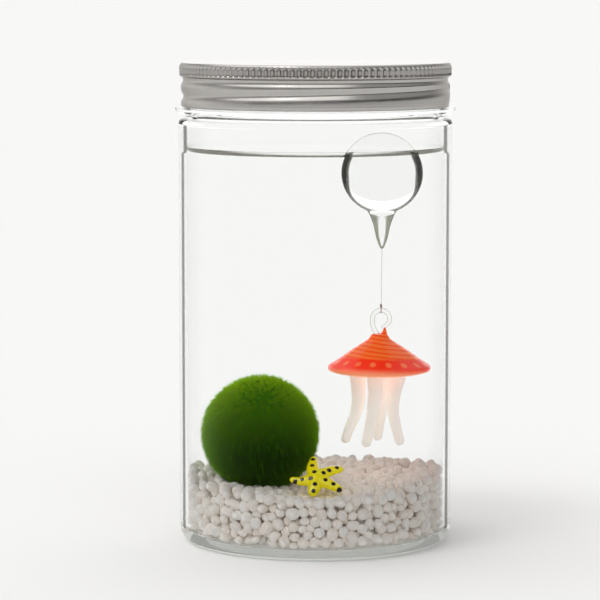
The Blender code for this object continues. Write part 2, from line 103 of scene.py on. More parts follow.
# Places of the ball and the ornaments
BALL_CENTRE = Vector((-16.9, -8.0, 34.4)) * MM
STAR_CENTRE = Vector((0.4, -25.0, 23.4)) * MM
STAR_TILT = math.radians(38.0)
EYE_CENTRE = Vector((20.4, 0.0, 69.4)) * MM
EYE_RADIUS = 2.65 * MM
EYE_ROD = 0.72 * MM
FLOAT_X = (FLOAT_LOW.x + FLOAT_HIGH.x) / 2.0
FLOAT_RADIUS = (FLOAT_HIGH.x - FLOAT_LOW.x) / 2.0
FLOAT_MIDDLE = FLOAT_HIGH.z - FLOAT_RADIUS
FLOAT_WALL = 0.35 * MM
BELL_X = (BELL_LOW.x + BELL_HIGH.x) / 2.0
BELL_RADIUS = (BELL_HIGH.x - BELL_LOW.x) / 2.0
BELL_TOP = 64.6 * MM
BRIM_MIDDLE = 55.5 * MM
BRIM_TOP = 57.0 * MM
LINE_RADIUS = 0.12 * MM

# How the light bends; low, because the photograph shows hardly any magnification
WALL_BENDING = 1.14
NECK_BENDING = 1.04
HEEL_BENDING = 1.03
SURFACE_BENDING = 1.002
MENISCUS_BENDING = 1.004
FLOAT_BENDING = 1.02
FLOAT_BENDING_UNDER_WATER = 1.06

# Camera and floor
LENS = 173.6
SENSOR = 36.0
CAMERA_PLACE = (-0.00477, -0.9, 0.1713)
CAMERA_TILT = math.radians(83.905)
FLOOR_REACH = 400.0


# Settings that a user would change


class JarSettings(bpy.types.PropertyGroup):
    radius: bpy.props.FloatProperty(
        name="Radius",
        description="Outer radius of the jar's straight side",
        default=0.0425,
        unit="LENGTH",
    )
    wall: bpy.props.FloatProperty(
        name="Wall", description="Thickness of the glass", default=0.0024, unit="LENGTH"
    )
    heel: bpy.props.FloatProperty(
        name="Heel", description="Rounding between side and base", default=0.0052, unit="LENGTH"
    )
    colour: bpy.props.FloatVectorProperty(
        name="Glass", description="Tint of the clear glass", default=(0.99, 0.995, 0.992), subtype="COLOR"
    )
    # Colour of the painted dark rim and lines where the glass is seen edge on
    painted_edge_colour: bpy.props.FloatVectorProperty(
        name="Glass edge",
        description="Tint where one looks along the wall",
        default=(0.06, 0.057, 0.05),
        subtype="COLOR",
    )


class LidSettings(bpy.types.PropertyGroup):
    flutes: bpy.props.IntProperty(
        name="Flutes", description="Number of grip flutes round the lid", default=128, min=24
    )
    flute_depth: bpy.props.FloatProperty(
        name="Flute depth", description="Depth of a grip flute", default=0.0007, unit="LENGTH"
    )
    groove_depth: bpy.props.FloatProperty(
        name="Groove depth", description="Depth of the rolled thread", default=0.0008, unit="LENGTH"
    )
    # The side's aluminium, darkened to a mid grey: painted shade
    colour: bpy.props.FloatVectorProperty(
        name="Metal", description="Colour of the aluminium", default=(0.5, 0.485, 0.465), subtype="COLOR"
    )
    roughness: bpy.props.FloatProperty(
        name="Roughness",
        description="How matt the metal is",
        default=0.23,
        min=0.0,
        max=1.0,
        subtype="FACTOR",
    )


class WaterSettings(bpy.types.PropertyGroup):
    meniscus: bpy.props.FloatProperty(
        name="Meniscus", description="How high the water climbs the glass", default=0.0016, unit="LENGTH"
    )
    colour: bpy.props.FloatVectorProperty(
        name="Water", description="Tint of the water", default=(0.995, 0.998, 0.995), subtype="COLOR"
    )
    refraction: bpy.props.FloatProperty(
        name="Refraction", description="How much the water bends light", default=1.01, min=1.0, max=1.5
    )


class GravelSettings(bpy.types.PropertyGroup):
    grains: bpy.props.IntProperty(name="Grains", description="Number of grains", default=2800, min=10)
    smallest: bpy.props.FloatProperty(
        name="Smallest", description="Radius of the smallest grain", default=0.0013, unit="LENGTH"
    )
    largest: bpy.props.FloatProperty(
        name="Largest", description="Radius of the largest grain", default=0.00215, unit="LENGTH"
    )
    pale: bpy.props.FloatVectorProperty(
        name="Pale", description="Colour of the palest grains", default=(1.0, 0.97, 0.935), subtype="COLOR"
    )
    warm: bpy.props.FloatVectorProperty(
        name="Warm", description="Colour of the warmest grains", default=(0.98, 0.905, 0.84), subtype="COLOR"
    )


class MossSettings(bpy.types.PropertyGroup):
    threads: bpy.props.IntProperty(
        name="Threads", description="Number of algae threads", default=52000, min=100
    )
    locks: bpy.props.IntProperty(
        name="Locks", description="Number of small locks that threads gather into", default=4200, min=10
    )
    length: bpy.props.FloatProperty(
        name="Length", description="Length of a thread", default=0.0054, unit="LENGTH"
    )
    width: bpy.props.FloatProperty(
        name="Width", description="Width of a thread at its root", default=0.00019, unit="LENGTH"
    )
    tip_colour: bpy.props.FloatVectorProperty(
        name="Tips", description="Colour of the thread tips", default=(0.66, 1.0, 0.025), subtype="COLOR"
    )
    # Near black: painted shade deep among the threads
    shaded_root_colour: bpy.props.FloatVectorProperty(
        name="Roots",
        description="Colour of the thread roots",
        default=(0.004, 0.018, 0.0003),
        subtype="COLOR",
    )


class OrnamentSettings(bpy.types.PropertyGroup):
    yellow: bpy.props.FloatVectorProperty(
        name="Starfish", description="Colour of the starfish", default=(1.0, 0.88, 0.004), subtype="COLOR"
    )
    orange: bpy.props.FloatVectorProperty(
        name="Bell", description="Colour of the jellyfish bell", default=(1.0, 0.165, 0.02), subtype="COLOR"
    )
    stripe: bpy.props.FloatVectorProperty(
        name="Stripes",
        description="Colour of the bell's turned stripes",
        default=(0.85, 0.05, 0.002),
        subtype="COLOR",
    )
    frosted: bpy.props.FloatVectorProperty(
        name="Tentacles",
        description="Colour of the frosted tentacles",
        default=(1.0, 0.97, 0.93),
        subtype="COLOR",
    )


class StageSettings(bpy.types.PropertyGroup):
    floor_colour: bpy.props.FloatVectorProperty(
        name="Floor", description="Colour of the floor", default=(0.93, 0.93, 0.93), subtype="COLOR"
    )
    key: bpy.props.FloatProperty(
        name="Key light", description="Strength of the broad light above and behind", default=0.8, min=0.0
    )
    ceiling: bpy.props.FloatProperty(
        name="Ceiling", description="Strength of the even light overhead", default=0.48, min=0.0
    )
    lamp: bpy.props.FloatProperty(
        name="Lamp", description="Strength of the small light that makes glints", default=5.0, min=0.0
    )
    window: bpy.props.FloatProperty(
        name="Window", description="Strength of the long light above the front", default=1.2, min=0.0
    )


# Helpers for shapes


def filleted(corners, steps=6):
    """Points (r, z) along corners (r, z, reach), each corner rounded over its reach."""
    points = []
    for index, (radius, height, reach) in enumerate(corners):
        here = Vector((radius, height))
        if reach == 0.0:
            points.append(here)
            continue
        before = Vector(corners[index - 1][:2]) - here
        after = Vector(corners[index + 1][:2]) - here
        start = here + before.normalized() * min(reach, 0.49 * before.length)
        end = here + after.normalized() * min(reach, 0.49 * after.length)
        for step in range(steps + 1):
            share = step / steps
            points.append(start.lerp(here, share).lerp(here.lerp(end, share), share))
    return [tuple(point) for point in points]


def spaced(profile, spacing):
    """The profile with its long stretches cut into short ones."""
    dense = [profile[0]]
    for start, end in zip(profile, profile[1:]):
        parts = max(1, round(math.dist(start, end) / spacing))
        for part in range(1, parts + 1):
            dense.append(tuple(Vector(start).lerp(Vector(end), part / parts)))
    return dense


def mesh_object(name, points, faces, material):
    """A smooth-shaded object made from points and faces."""
    mesh = bpy.data.meshes.new(name)
    mesh.from_pydata(points, [], faces)
    mesh.materials.append(material)
    mesh.shade_smooth()
    piece = bpy.data.objects.new(name, mesh)
    bpy.context.scene.collection.objects.link(piece)
    return piece


def piece_from(shape, name, material):
    """An object made from a bmesh, which is used up."""
    mesh = bpy.data.meshes.new(name)
    shape.to_mesh(mesh)
    shape.free()
    mesh.materials.append(material)
    mesh.shade_smooth()
    piece = bpy.data.objects.new(name, mesh)
    bpy.context.scene.collection.objects.link(piece)
    return piece


def weld(piece):
    """Join the points of a mesh that lie on each other."""
    shape = bmesh.new()
    shape.from_mesh(piece.data)
    bmesh.ops.remove_doubles(shape, verts=shape.verts, dist=0.002 * MM)
    shape.to_mesh(piece.data)
    shape.free()
    return piece


def turned(name, profile, segments, material, centre=(0.0, 0.0), reshape=None):
    """A profile of (r, z) points turned about a vertical axis; reshape may change r."""
    radius, height = np.array(profile).T
    angle = np.arange(segments) * TURN / segments
    radii = np.repeat(radius[:, None], segments, axis=1)
    heights = np.repeat(height[:, None], segments, axis=1)
    angles = np.repeat(angle[None, :], len(radius), axis=0)
    if reshape:
        radii = reshape(radii, heights, angles)
    points = np.stack(
        (centre[0] + radii * np.cos(angles), centre[1] + radii * np.sin(angles), heights), axis=-1
    )
    here = np.arange(segments)
    after = (here + 1) % segments
    rings = np.arange(len(radius) - 1)[:, None] * segments
    faces = np.stack(
        (rings + here, rings + segments + here, rings + segments + after, rings + after), axis=-1
    )
    piece = weld(mesh_object(name, points.reshape(-1, 3), faces.reshape(-1, 4), material))
    piece.data.set_sharp_from_angle(angle=SHARP)
    return piece


def smooth_route(points, count):
    """A smooth curve through the points, as count points in even steps of the points' order."""
    points = [np.array(point, float) for point in points]
    ends = [2 * points[0] - points[1], *points, 2 * points[-1] - points[-2]]
    route = []
    for step in range(count):
        place = step * (len(points) - 1) / (count - 1)
        index = min(int(place), len(points) - 2)
        share = place - index
        a, b, c, d = ends[index : index + 4]
        route.append(
            0.5
            * (
                2 * b
                + (c - a) * share
                + (2 * a - 5 * b + 4 * c - d) * share**2
                + (3 * b - a - 3 * c + d) * share**3
            )
        )
    return route


def tube(name, points, radii, sides, material, round_start=False):
    """A round rod along its points, with a rounded far end."""
    points = [Vector(point) for point in points]
    along = [(b - a).normalized() for a, b in zip(points, points[1:])]
    along.append(along[-1])
    rings = []
    side = along[0].orthogonal().normalized()
    caps = 7
    if round_start:
        for cap in range(caps):
            turn = 0.5 * math.pi * (1.0 - cap / caps)
            middle = points[0] - along[0] * radii[0] * math.sin(turn)
            rings.append((middle, along[0], radii[0] * math.cos(turn)))
    for point, forward, radius in zip(points, along, radii):
        rings.append((point, forward, radius))
    for cap in range(1, caps + 1):
        turn = 0.5 * math.pi * cap / caps
        middle = points[-1] + along[-1] * radii[-1] * math.sin(turn)
        rings.append((middle, along[-1], radii[-1] * math.cos(turn)))
    corners = []
    for middle, forward, radius in rings:
        side = (side - forward * side.dot(forward)).normalized()
        other = forward.cross(side)
        for step in range(sides):
            turn = TURN * step / sides
            corners.append(middle + (side * math.cos(turn) + other * math.sin(turn)) * radius)
    faces = []
    for ring in range(len(rings) - 1):
        for step in range(sides):
            first = ring * sides
            after = (step + 1) % sides
            faces.append((first + step, first + after, first + sides + after, first + sides + step))
    if not round_start:
        faces.append(tuple(reversed(range(sides))))
    return weld(mesh_object(name, [tuple(corner) for corner in corners], faces, material))


def settle(piece, body, slot, *nodes):
    """The piece rides on its body and stands for its CAD nodes; slot is not used."""
    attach(piece, body)
    if nodes:
        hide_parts(*nodes)
    return piece


# Helpers for materials


def new_material(name):
    """A material and its node tree."""
    material = bpy.data.materials.new(name)
    material.use_nodes = True
    return material, material.node_tree


def put(tree, socket, value):
    """Link a socket, or set a plain value, on an input."""
    if isinstance(value, bpy.types.NodeSocket):
        tree.links.new(value, socket)
    elif isinstance(value, tuple) and socket.type == "RGBA":
        socket.default_value = (*value[:3], 1.0)
    else:
        socket.default_value = value


def finished(material, **values):
    """The material with its shader's inputs set; a name's underscores stand for spaces."""
    tree = material.node_tree
    shader = tree.nodes["Principled BSDF"]
    for name, value in values.items():
        put(tree, shader.inputs[name.replace("_", " ")], value)
    return material


def node(tree, kind, inputs=(), **settings):
    """A new shader node with its inputs and settings."""
    made = tree.nodes.new("ShaderNode" + kind)
    for name, value in settings.items():
        setattr(made, name, value)
    for name, value in dict(inputs).items():
        put(tree, made.inputs[name], value)
    return made


def calc(tree, operation, *values):
    """The result of a Math node."""
    made = node(tree, "Math", operation=operation)
    for socket, value in zip(made.inputs, values):
        put(tree, socket, value)
    return made.outputs[0]


def plus(tree, first, second):
    return calc(tree, "ADD", first, second)


def minus(tree, first, second):
    return calc(tree, "SUBTRACT", first, second)


def times(tree, first, second):
    return calc(tree, "MULTIPLY", first, second)


def length_of(tree, across, up):
    """The length of a flat vector."""
    return calc(tree, "SQRT", plus(tree, times(tree, across, across), times(tree, up, up)))


def blend_colours(tree, share, first, second):
    """The first colour where share is 0 and the second where it is 1."""
    made = node(tree, "Mix", data_type="RGBA")
    first_colour, second_colour = 6, 7
    put(tree, made.inputs["Factor"], share)
    put(tree, made.inputs[first_colour], first)
    put(tree, made.inputs[second_colour], second)
    return made.outputs[2]


def eased(tree, value, low, high, to_low=0.0, to_high=1.0):
    """A value eased from to_low at low to to_high at high."""
    inputs = {"Value": value, "From Min": low, "From Max": high, "To Min": to_low, "To Max": to_high}
    return node(tree, "MapRange", inputs, interpolation_type="SMOOTHSTEP").outputs[0]


def place_of(tree):
    """The point on the piece, as three separate values."""
    where = node(tree, "TexCoord").outputs["Object"]
    return tuple(node(tree, "SeparateXYZ", {"Vector": where}).outputs)


def facing_of(tree):
    """0 where the surface faces the eye, and 1 where it is seen edge on."""
    return node(tree, "LayerWeight", {"Blend": 0.5}).outputs["Facing"]


def attribute_of(tree, name):
    return node(tree, "Attribute", attribute_name=name).outputs["Fac"]


def darkened(colour, share):
    return tuple(share * part for part in colour)


def new_group(name, inputs, outputs):
    """A node group with float inputs (name, default) and typed outputs (name, socket type)."""
    group = bpy.data.node_groups.new(name, "ShaderNodeTree")
    for label, default in inputs:
        socket = group.interface.new_socket(label, in_out="INPUT", socket_type="NodeSocketFloat")
        socket.default_value = default
    for label, kind in outputs:
        group.interface.new_socket(label, in_out="OUTPUT", socket_type=kind)
    return group, group.nodes.new("NodeGroupInput"), group.nodes.new("NodeGroupOutput")


def uneven_surface():
    """Group: fine unevenness at a scale, as a mask and as a bumped normal."""
    found = bpy.data.node_groups.get("uneven_surface")
    if found:
        return found
    inputs = (("Scale", 400.0), ("Detail", 4.0), ("Depth", 0.0001))
    outputs = (("Mask", "NodeSocketFloat"), ("Normal", "NodeSocketVector"))
    group, given, out = new_group("uneven_surface", inputs, outputs)
    where = node(group, "TexCoord").outputs["Object"]
    rough = node(
        group,
        "TexNoise",
        {"Vector": where, "Scale": given.outputs["Scale"], "Detail": given.outputs["Detail"]},
    ).outputs[0]
    bump = node(group, "Bump", {"Height": rough, "Distance": given.outputs["Depth"], "Strength": 1.0})
    put(group, out.inputs["Mask"], rough)
    put(group, out.inputs["Normal"], bump.outputs[0])
    return group


def use_uneven(tree, scale, detail, depth):
    """The uneven_surface group's mask and normal, with a material's own values."""
    made = node(tree, "Group", node_tree=uneven_surface())
    for name, value in (("Scale", scale), ("Detail", detail), ("Depth", depth)):
        made.inputs[name].default_value = value
    return made.outputs["Mask"], made.outputs["Normal"]


# Materials


def clear_wall(jar, name, bending, painted_lines, edge_from, edge_share):
    """Clear glass; seen edge on it takes a painted dark rim, and on the lined outer wall a painted dark line
    and grey wash, standing in for what thick glass reflects and bends.
    """
    material, tree = new_material(name)
    # Painted shade: the tint turns dark where the wall is seen edge on
    facing = facing_of(tree)
    edge = eased(tree, facing, edge_from, 1.0, 0.0, edge_share)
    if painted_lines:
        # Painted shade: a dark line and a grey wash at set viewing angles, shifted above the water
        _, _, z = place_of(tree)
        in_air = eased(tree, z, WATER_TOP - 0.5 * MM, WATER_TOP + 0.5 * MM, 0.0, 0.066)
        along = plus(tree, facing, in_air)
        line_ends = eased(tree, along, 0.785, 0.825, 1.0, 0.0)
        line = times(tree, eased(tree, along, 0.7, 0.74), line_ends)
        wash_ends = eased(tree, along, 0.66, 0.7, 1.0, 0.3)
        painted_wash = times(tree, eased(tree, along, 0.4, 0.66, 0.0, 0.16), wash_ends)
        edge = calc(tree, "MAXIMUM", calc(tree, "MAXIMUM", line, painted_wash), edge)
    tint = blend_colours(tree, edge, tuple(jar.colour), tuple(jar.painted_edge_colour))
    _, flow = use_uneven(tree, 28.0, 1.0, 0.000006)
    return finished(
        material,
        Base_Color=tint,
        Roughness=0.0,
        IOR=bending,
        Transmission_Weight=1.0,
        Specular_Tint=(0.3, 0.3, 0.3),
        Normal=flow,
    )


def stippled_base_with_painted_glow():
    """The jar's floor, stippled underneath so that it scatters the light, pale and with a faint painted glow
    that stands in for light the glass carries under the jar.
    """
    material, tree = new_material("jar_glass_base")
    stipple, rough = use_uneven(tree, 1400.0, 2.0, 0.00004)
    tint = blend_colours(tree, stipple, (0.74, 0.75, 0.73), (0.9, 0.905, 0.89))
    return finished(
        material,
        Base_Color=tint,
        Roughness=0.45,
        IOR=1.2,
        Specular_IOR_Level=0.2,
        Transmission_Weight=0.3,
        # Painted light: the base glows a little, so it does not go dark over the shaded floor
        Emission_Color=tint,
        Emission_Strength=0.13,
        Normal=rough,
    )


def water_material(water, name, bending, climbing=False):
    """Clear water; where it climbs the glass, a painted dark tint seen from below stands in for what the
    meniscus reflects.
    """
    material, tree = new_material(name)
    tint = tuple(water.colour)
    if climbing:
        # Painted shade: dark where seen from below, edge on or near the top of the climb
        facing = facing_of(tree)
        below = node(tree, "NewGeometry").outputs["Backfacing"]
        _, _, z = place_of(tree)
        rim = eased(tree, z, WATER_TOP + 1.2 * MM, WATER_TOP + 1.5 * MM, 0.0, 0.45)
        painted_waterline = calc(tree, "MAXIMUM", eased(tree, facing, 0.03, 0.35), rim)
        dark = times(tree, painted_waterline, below)
        tint = blend_colours(tree, dark, tint, (0.065, 0.06, 0.048))
    return finished(
        material,
        Base_Color=tint,
        Roughness=0.0,
        IOR=bending,
        Transmission_Weight=1.0,
        Specular_Tint=(0.4, 0.4, 0.4),
    )


def lid_metal(name, lid, colour, edge_tint):
    """Spun aluminium: fine rings and soft wear."""
    material, tree = new_material(name)
    x, y, z = place_of(tree)
    radius = length_of(tree, x, y)
    rings_at = node(tree, "CombineXYZ", {"X": radius, "Y": 0.0, "Z": z}).outputs[0]
    rings = node(tree, "TexNoise", {"Vector": rings_at, "Scale": 2600.0, "Detail": 3.0}).outputs[0]
    cloud, worn = use_uneven(tree, 160.0, 5.0, 0.000004)
    dull = plus(tree, times(tree, rings, 0.14), times(tree, cloud, 0.16))
    roughness = plus(tree, dull, lid.roughness - 0.15)
    tint = blend_colours(tree, cloud, darkened(colour, 0.86), colour)
    marks = {"Height": rings, "Distance": 0.000005, "Strength": 1.0, "Normal": worn}
    turned_marks = node(tree, "Bump", marks)
    return finished(
        material,
        Base_Color=tint,
        Metallic=1.0,
        Roughness=roughness,
        Specular_Tint=edge_tint,
        Normal=turned_marks.outputs[0],
    )


def liner_foam():
    """Pale foam with fine cells."""
    material, tree = new_material("liner_foam")
    cells, pitted = use_uneven(tree, 1800.0, 2.0, 0.00003)
    tint = blend_colours(tree, cells, (0.82, 0.81, 0.78), (0.93, 0.92, 0.9))
    return finished(material, Base_Color=tint, Roughness=0.6, Normal=pitted)


def gravel_stone(gravel):
    """Tumbled pebbles: each its own shade, faintly clouded and pitted."""
    material, tree = new_material("gravel_stone")
    shade = attribute_of(tree, "shade")
    cloud, pitted = use_uneven(tree, 900.0, 4.0, 0.00006)
    mixed = plus(tree, times(tree, shade, 0.75), times(tree, cloud, 0.35))
    tint = blend_colours(tree, calc(tree, "MINIMUM", mixed, 1.0), tuple(gravel.warm), tuple(gravel.pale))
    return finished(
        material,
        Base_Color=tint,
        Roughness=0.55,
        Specular_IOR_Level=0.3,
        Normal=pitted,
    )


def moss_threads_material(moss):
    """Threads from dark roots to bright tips; each lock has its own tone; painted light makes the upper,
    back side brighter and yellower, and the dark of the roots is painted shade deep among the threads.
    """
    material, tree = new_material("moss_threads")
    along = attribute_of(tree, "along")
    shade = attribute_of(tree, "shade")
    painted_sunlight = attribute_of(tree, "painted_sunlight")
    bright = tuple(moss.tip_colour)
    shaded_tip_colour = (0.2 * bright[0], 0.5 * bright[1], 0.25 * bright[2])
    # Painted light: tips turn bright and yellow-green where the ball faces up and back
    lit = blend_colours(tree, painted_sunlight, shaded_tip_colour, bright)
    painted_light_colour = blend_colours(tree, calc(tree, "POWER", painted_sunlight, 1.5), (0.01, 0.055, 0.0007), lit)
    paler = plus(tree, times(tree, shade, 0.75), 0.25)
    mixed = times(tree, calc(tree, "POWER", along, 0.8), paler)
    # Painted shade: roots near black deep among the threads, a little lighter on the painted lit side
    low = blend_colours(tree, painted_sunlight, tuple(moss.shaded_root_colour), (0.16, 0.42, 0.005))
    tint = blend_colours(tree, mixed, low, painted_light_colour)
    return finished(
        material,
        Base_Color=tint,
        Roughness=0.7,
        Specular_IOR_Level=0.0,
        Sheen_Weight=0.8,
        Sheen_Roughness=0.5,
        Sheen_Tint=(0.4, 0.9, 0.02),
    )


def moss_felt_material():
    """The matted body under the threads."""
    material, tree = new_material("moss_felt")
    cloud, matted = use_uneven(tree, 1500.0, 6.0, 0.0004)
    tint = blend_colours(tree, cloud, (0.03, 0.13, 0.002), (0.06, 0.24, 0.004))
    return finished(material, Base_Color=tint, Roughness=0.95, Specular_IOR_Level=0.0, Normal=matted)


# Dots of the starfish as (across, up, radius) in mm, each drawn a little larger
DOT_GROWTH = 1.2
STAR_DOTS = (
    (-1.2, 6.5, 0.58),
    (-1.4, 3.5, 0.58),
    (-0.8, 0.6, 0.6),
    (2.0, 0.4, 0.58),
    (3.7, 1.7, 0.58),
    (6.1, 3.1, 0.56),
    (2.6, -2.4, 0.58),
    (5.0, -3.8, 0.58),
    (6.8, -5.9, 0.72),
    (-0.6, -4.3, 0.6),
    (-1.1, -6.6, 0.56),
    (-6.6, -2.3, 0.56),
    (-4.5, -1.9, 0.52),
    (-1.9, -1.9, 0.58),
)


def star_glass(ornaments):
    """Yellow glass with round dark dots, in the star's own plane, and a faint painted glow."""
    material, tree = new_material("star_glass")
    where = node(tree, "TexCoord").outputs["Object"]
    flat = node(tree, "VectorMath", operation="MULTIPLY")
    put(tree, flat.inputs[0], where)
    flat.inputs[1].default_value = (1.0, 1.0, 0.0)
    outside = 1.0
    for across, up, size in STAR_DOTS:
        away = node(tree, "VectorMath", operation="DISTANCE")
        put(tree, away.inputs[0], flat.outputs[0])
        away.inputs[1].default_value = (across * MM, up * MM, 0.0)
        past_dot = minus(tree, away.outputs["Value"], DOT_GROWTH * size * MM)
        outside = calc(tree, "MINIMUM", outside, past_dot)
    dot = eased(tree, outside, -0.07 * MM, 0.07 * MM, 1.0, 0.0)
    cloud, _ = use_uneven(tree, 260.0, 2.0, 0.0)
    yellow = tuple(ornaments.yellow)
    yellow = blend_colours(tree, cloud, darkened(yellow, 0.86), yellow)
    tint = blend_colours(tree, dot, yellow, (0.012, 0.006, 0.004))
    return finished(
        material,
        Base_Color=tint,
        Roughness=0.12,
        IOR=1.5,
        Specular_IOR_Level=0.1,
        Coat_Weight=0.6,
        Coat_Roughness=0.03,
        # Painted light: the starfish glows a little
        Emission_Color=tint,
        Emission_Strength=0.1,
        Subsurface_Weight=0.25,
        Subsurface_Radius=(0.6 * MM, 0.5 * MM, 0.1 * MM),
        Subsurface_Scale=1.0,
    )


def float_glass(name, bending, part):
    """Thin clear glass: part is air, water or inside; in the first two its rim takes a painted dark shade
    that stands in for what the curved glass reflects and bends.
    """
    material, tree = new_material(name)
    facing = facing_of(tree)
    _, _, z = place_of(tree)
    tint = (0.985, 0.985, 0.985)
    if part == "air":
        # Painted shade: a dark rim where the glass above water is seen edge on
        tint = blend_colours(tree, eased(tree, facing, 0.72, 0.86), tint, (0.42, 0.41, 0.34))
    elif part == "water":
        # Painted shade: dark crescents under water, darkest near the waterline and paler downwards, with the
        # nose kept clear
        edge = eased(tree, z, FLOAT_MIDDLE - 8.5 * MM, FLOAT_MIDDLE - 0.5 * MM, 0.62, 0.4)
        nose = eased(tree, z, FLOAT_LOW.z + 10.4 * MM, FLOAT_LOW.z + 11.2 * MM, 0.5, 0.0)
        rim = eased(tree, minus(tree, plus(tree, facing, nose), edge), 0.0, 0.05)
        light = eased(tree, z, FLOAT_MIDDLE - 12.5 * MM, FLOAT_MIDDLE - 4.0 * MM, 0.34, 0.035)
        light = times(tree, light, eased(tree, facing, 0.52, 0.76, 1.0, 0.22))
        warm = times(tree, light, 0.84)
        dark = node(tree, "CombineColor", {"Red": light, "Green": light, "Blue": warm}).outputs[0]
        tint = blend_colours(tree, rim, tint, dark)
    return finished(
        material,
        Base_Color=tint,
        Roughness=0.0,
        IOR=bending,
        Transmission_Weight=1.0,
        Specular_Tint=(0.3, 0.3, 0.3),
    )


def clear_rod_glass():
    """A clear rod under water: pale inside, with a painted warm grey shade along its edges, where it is seen
    edge on.
    """
    material, tree = new_material("clear_rod_glass")
    facing = facing_of(tree)
    # Painted shade along the edges, standing in for what the rod bends
    edge = eased(tree, facing, 0.38, 0.62)
    tint = blend_colours(tree, edge, (0.97, 0.96, 0.94), (0.16, 0.14, 0.11))
    return finished(
        material,
        Base_Color=tint,
        Roughness=0.03,
        IOR=1.03,
        Transmission_Weight=1.0,
        Specular_Tint=(0.4, 0.4, 0.4),
    )


def nylon(name, dark, pale, clear):
    """Nylon, faintly clouded between two colours, and clear to a share."""
    material, tree = new_material(name)
    cloud, _ = use_uneven(tree, 900.0, 2.0, 0.0)
    tint = blend_colours(tree, cloud, dark, pale)
    return finished(material, Base_Color=tint, Roughness=0.3, Transmission_Weight=clear, IOR=1.05)


def frosted_glass(ornaments):
    """Etched white glass, with a painted darker, warmer tint where it is seen edge on and a faint painted
    glow.
    """
    material, tree = new_material("frosted_glass")
    cloud, etched = use_uneven(tree, 500.0, 5.0, 0.00002)
    facing = facing_of(tree)
    pale = tuple(ornaments.frosted)
    clouded = blend_colours(tree, cloud, darkened(pale, 0.95), pale)
    # Painted shade where the rod is seen edge on
    edge = eased(tree, facing, 0.55, 1.0, 0.0, 0.5)
    tint = blend_colours(tree, edge, clouded, (0.9, 0.84, 0.77))
    return finished(
        material,
        Base_Color=tint,
        Roughness=0.5,
        IOR=1.12,
        Transmission_Weight=0.12,
        # Painted light: the tentacles glow a little
        Emission_Color=tint,
        Emission_Strength=0.16,
        Normal=etched,
    )


def bell_glass(ornaments):
    """Orange glass with turned stripes above a red brim that has a ring of round dots, and a faint painted
    glow.
    """
    material, tree = new_material("bell_glass")
    x, y, z = place_of(tree)
    away = minus(tree, x, BELL_X)
    angle = calc(tree, "ARCTAN2", y, away)
    turns = calc(tree, "DIVIDE", angle, TURN)
    wobble, _ = use_uneven(tree, 130.0, 2.0, 0.0)

    slant = plus(tree, times(tree, y, 0.07), times(tree, away, 0.03))
    tilted = plus(tree, z, slant)
    steeper = plus(tree, tilted, times(tree, away, 0.06))

    def stripes():
        height = calc(tree, "DIVIDE", steeper, 1.25 * MM)
        wavy = plus(tree, height, times(tree, wobble, 0.5))
        wound = plus(tree, wavy, turns)
        spiral = calc(tree, "SINE", times(tree, wound, TURN))
        return eased(tree, spiral, 0.15, 0.75)

    def dots():
        step = TURN / 17.0
        shifted = plus(tree, angle, math.radians(90.0 + 10.3) + step / 2.0)
        nearest = minus(tree, calc(tree, "FLOORED_MODULO", shifted, step), step / 2.0)
        sideways = times(tree, nearest, 12.6 * MM)
        up = times(tree, minus(tree, tilted, BRIM_MIDDLE), 1.3)
        return eased(tree, length_of(tree, sideways, up), 0.7 * MM, 1.1 * MM, 1.0, 0.0)

    brim = eased(tree, tilted, BRIM_TOP - 0.4 * MM, BRIM_TOP + 0.4 * MM, 1.0, 0.0)
    under = eased(tree, tilted, BELL_LOW.z - 0.4 * MM, BELL_LOW.z + 2.2 * MM, 1.0, 0.0)
    body = blend_colours(tree, stripes(), tuple(ornaments.orange), tuple(ornaments.stripe))
    banded = blend_colours(tree, brim, body, (0.95, 0.025, 0.003))
    dotted = blend_colours(tree, dots(), banded, (1.0, 0.17, 0.05))
    tint = blend_colours(tree, under, dotted, (1.0, 0.34, 0.17))
    return finished(
        material,
        Base_Color=tint,
        Roughness=0.22,
        IOR=1.4,
        Specular_IOR_Level=0.15,
        Coat_Weight=0.12,
        Coat_Roughness=0.05,
        # Painted light: the bell glows a little
        Emission_Color=tint,
        Emission_Strength=0.3,
        Subsurface_Weight=0.15,
        Subsurface_Radius=(2.0 * MM, 0.5 * MM, 0.2 * MM),
        Subsurface_Scale=1.0,
    )


def floor_paper(stage):
    """Pale paper, very faintly clouded."""
    material, tree = new_material("floor_paper")
    cloud, _ = use_uneven(tree, 3.0, 3.0, 0.0)
    pale = tuple(stage.floor_colour)
    tint = blend_colours(tree, cloud, darkened(pale, 0.995), pale)
    return finished(material, Base_Color=tint, Roughness=0.9, Specular_IOR_Level=0.0)


# Jar and lid


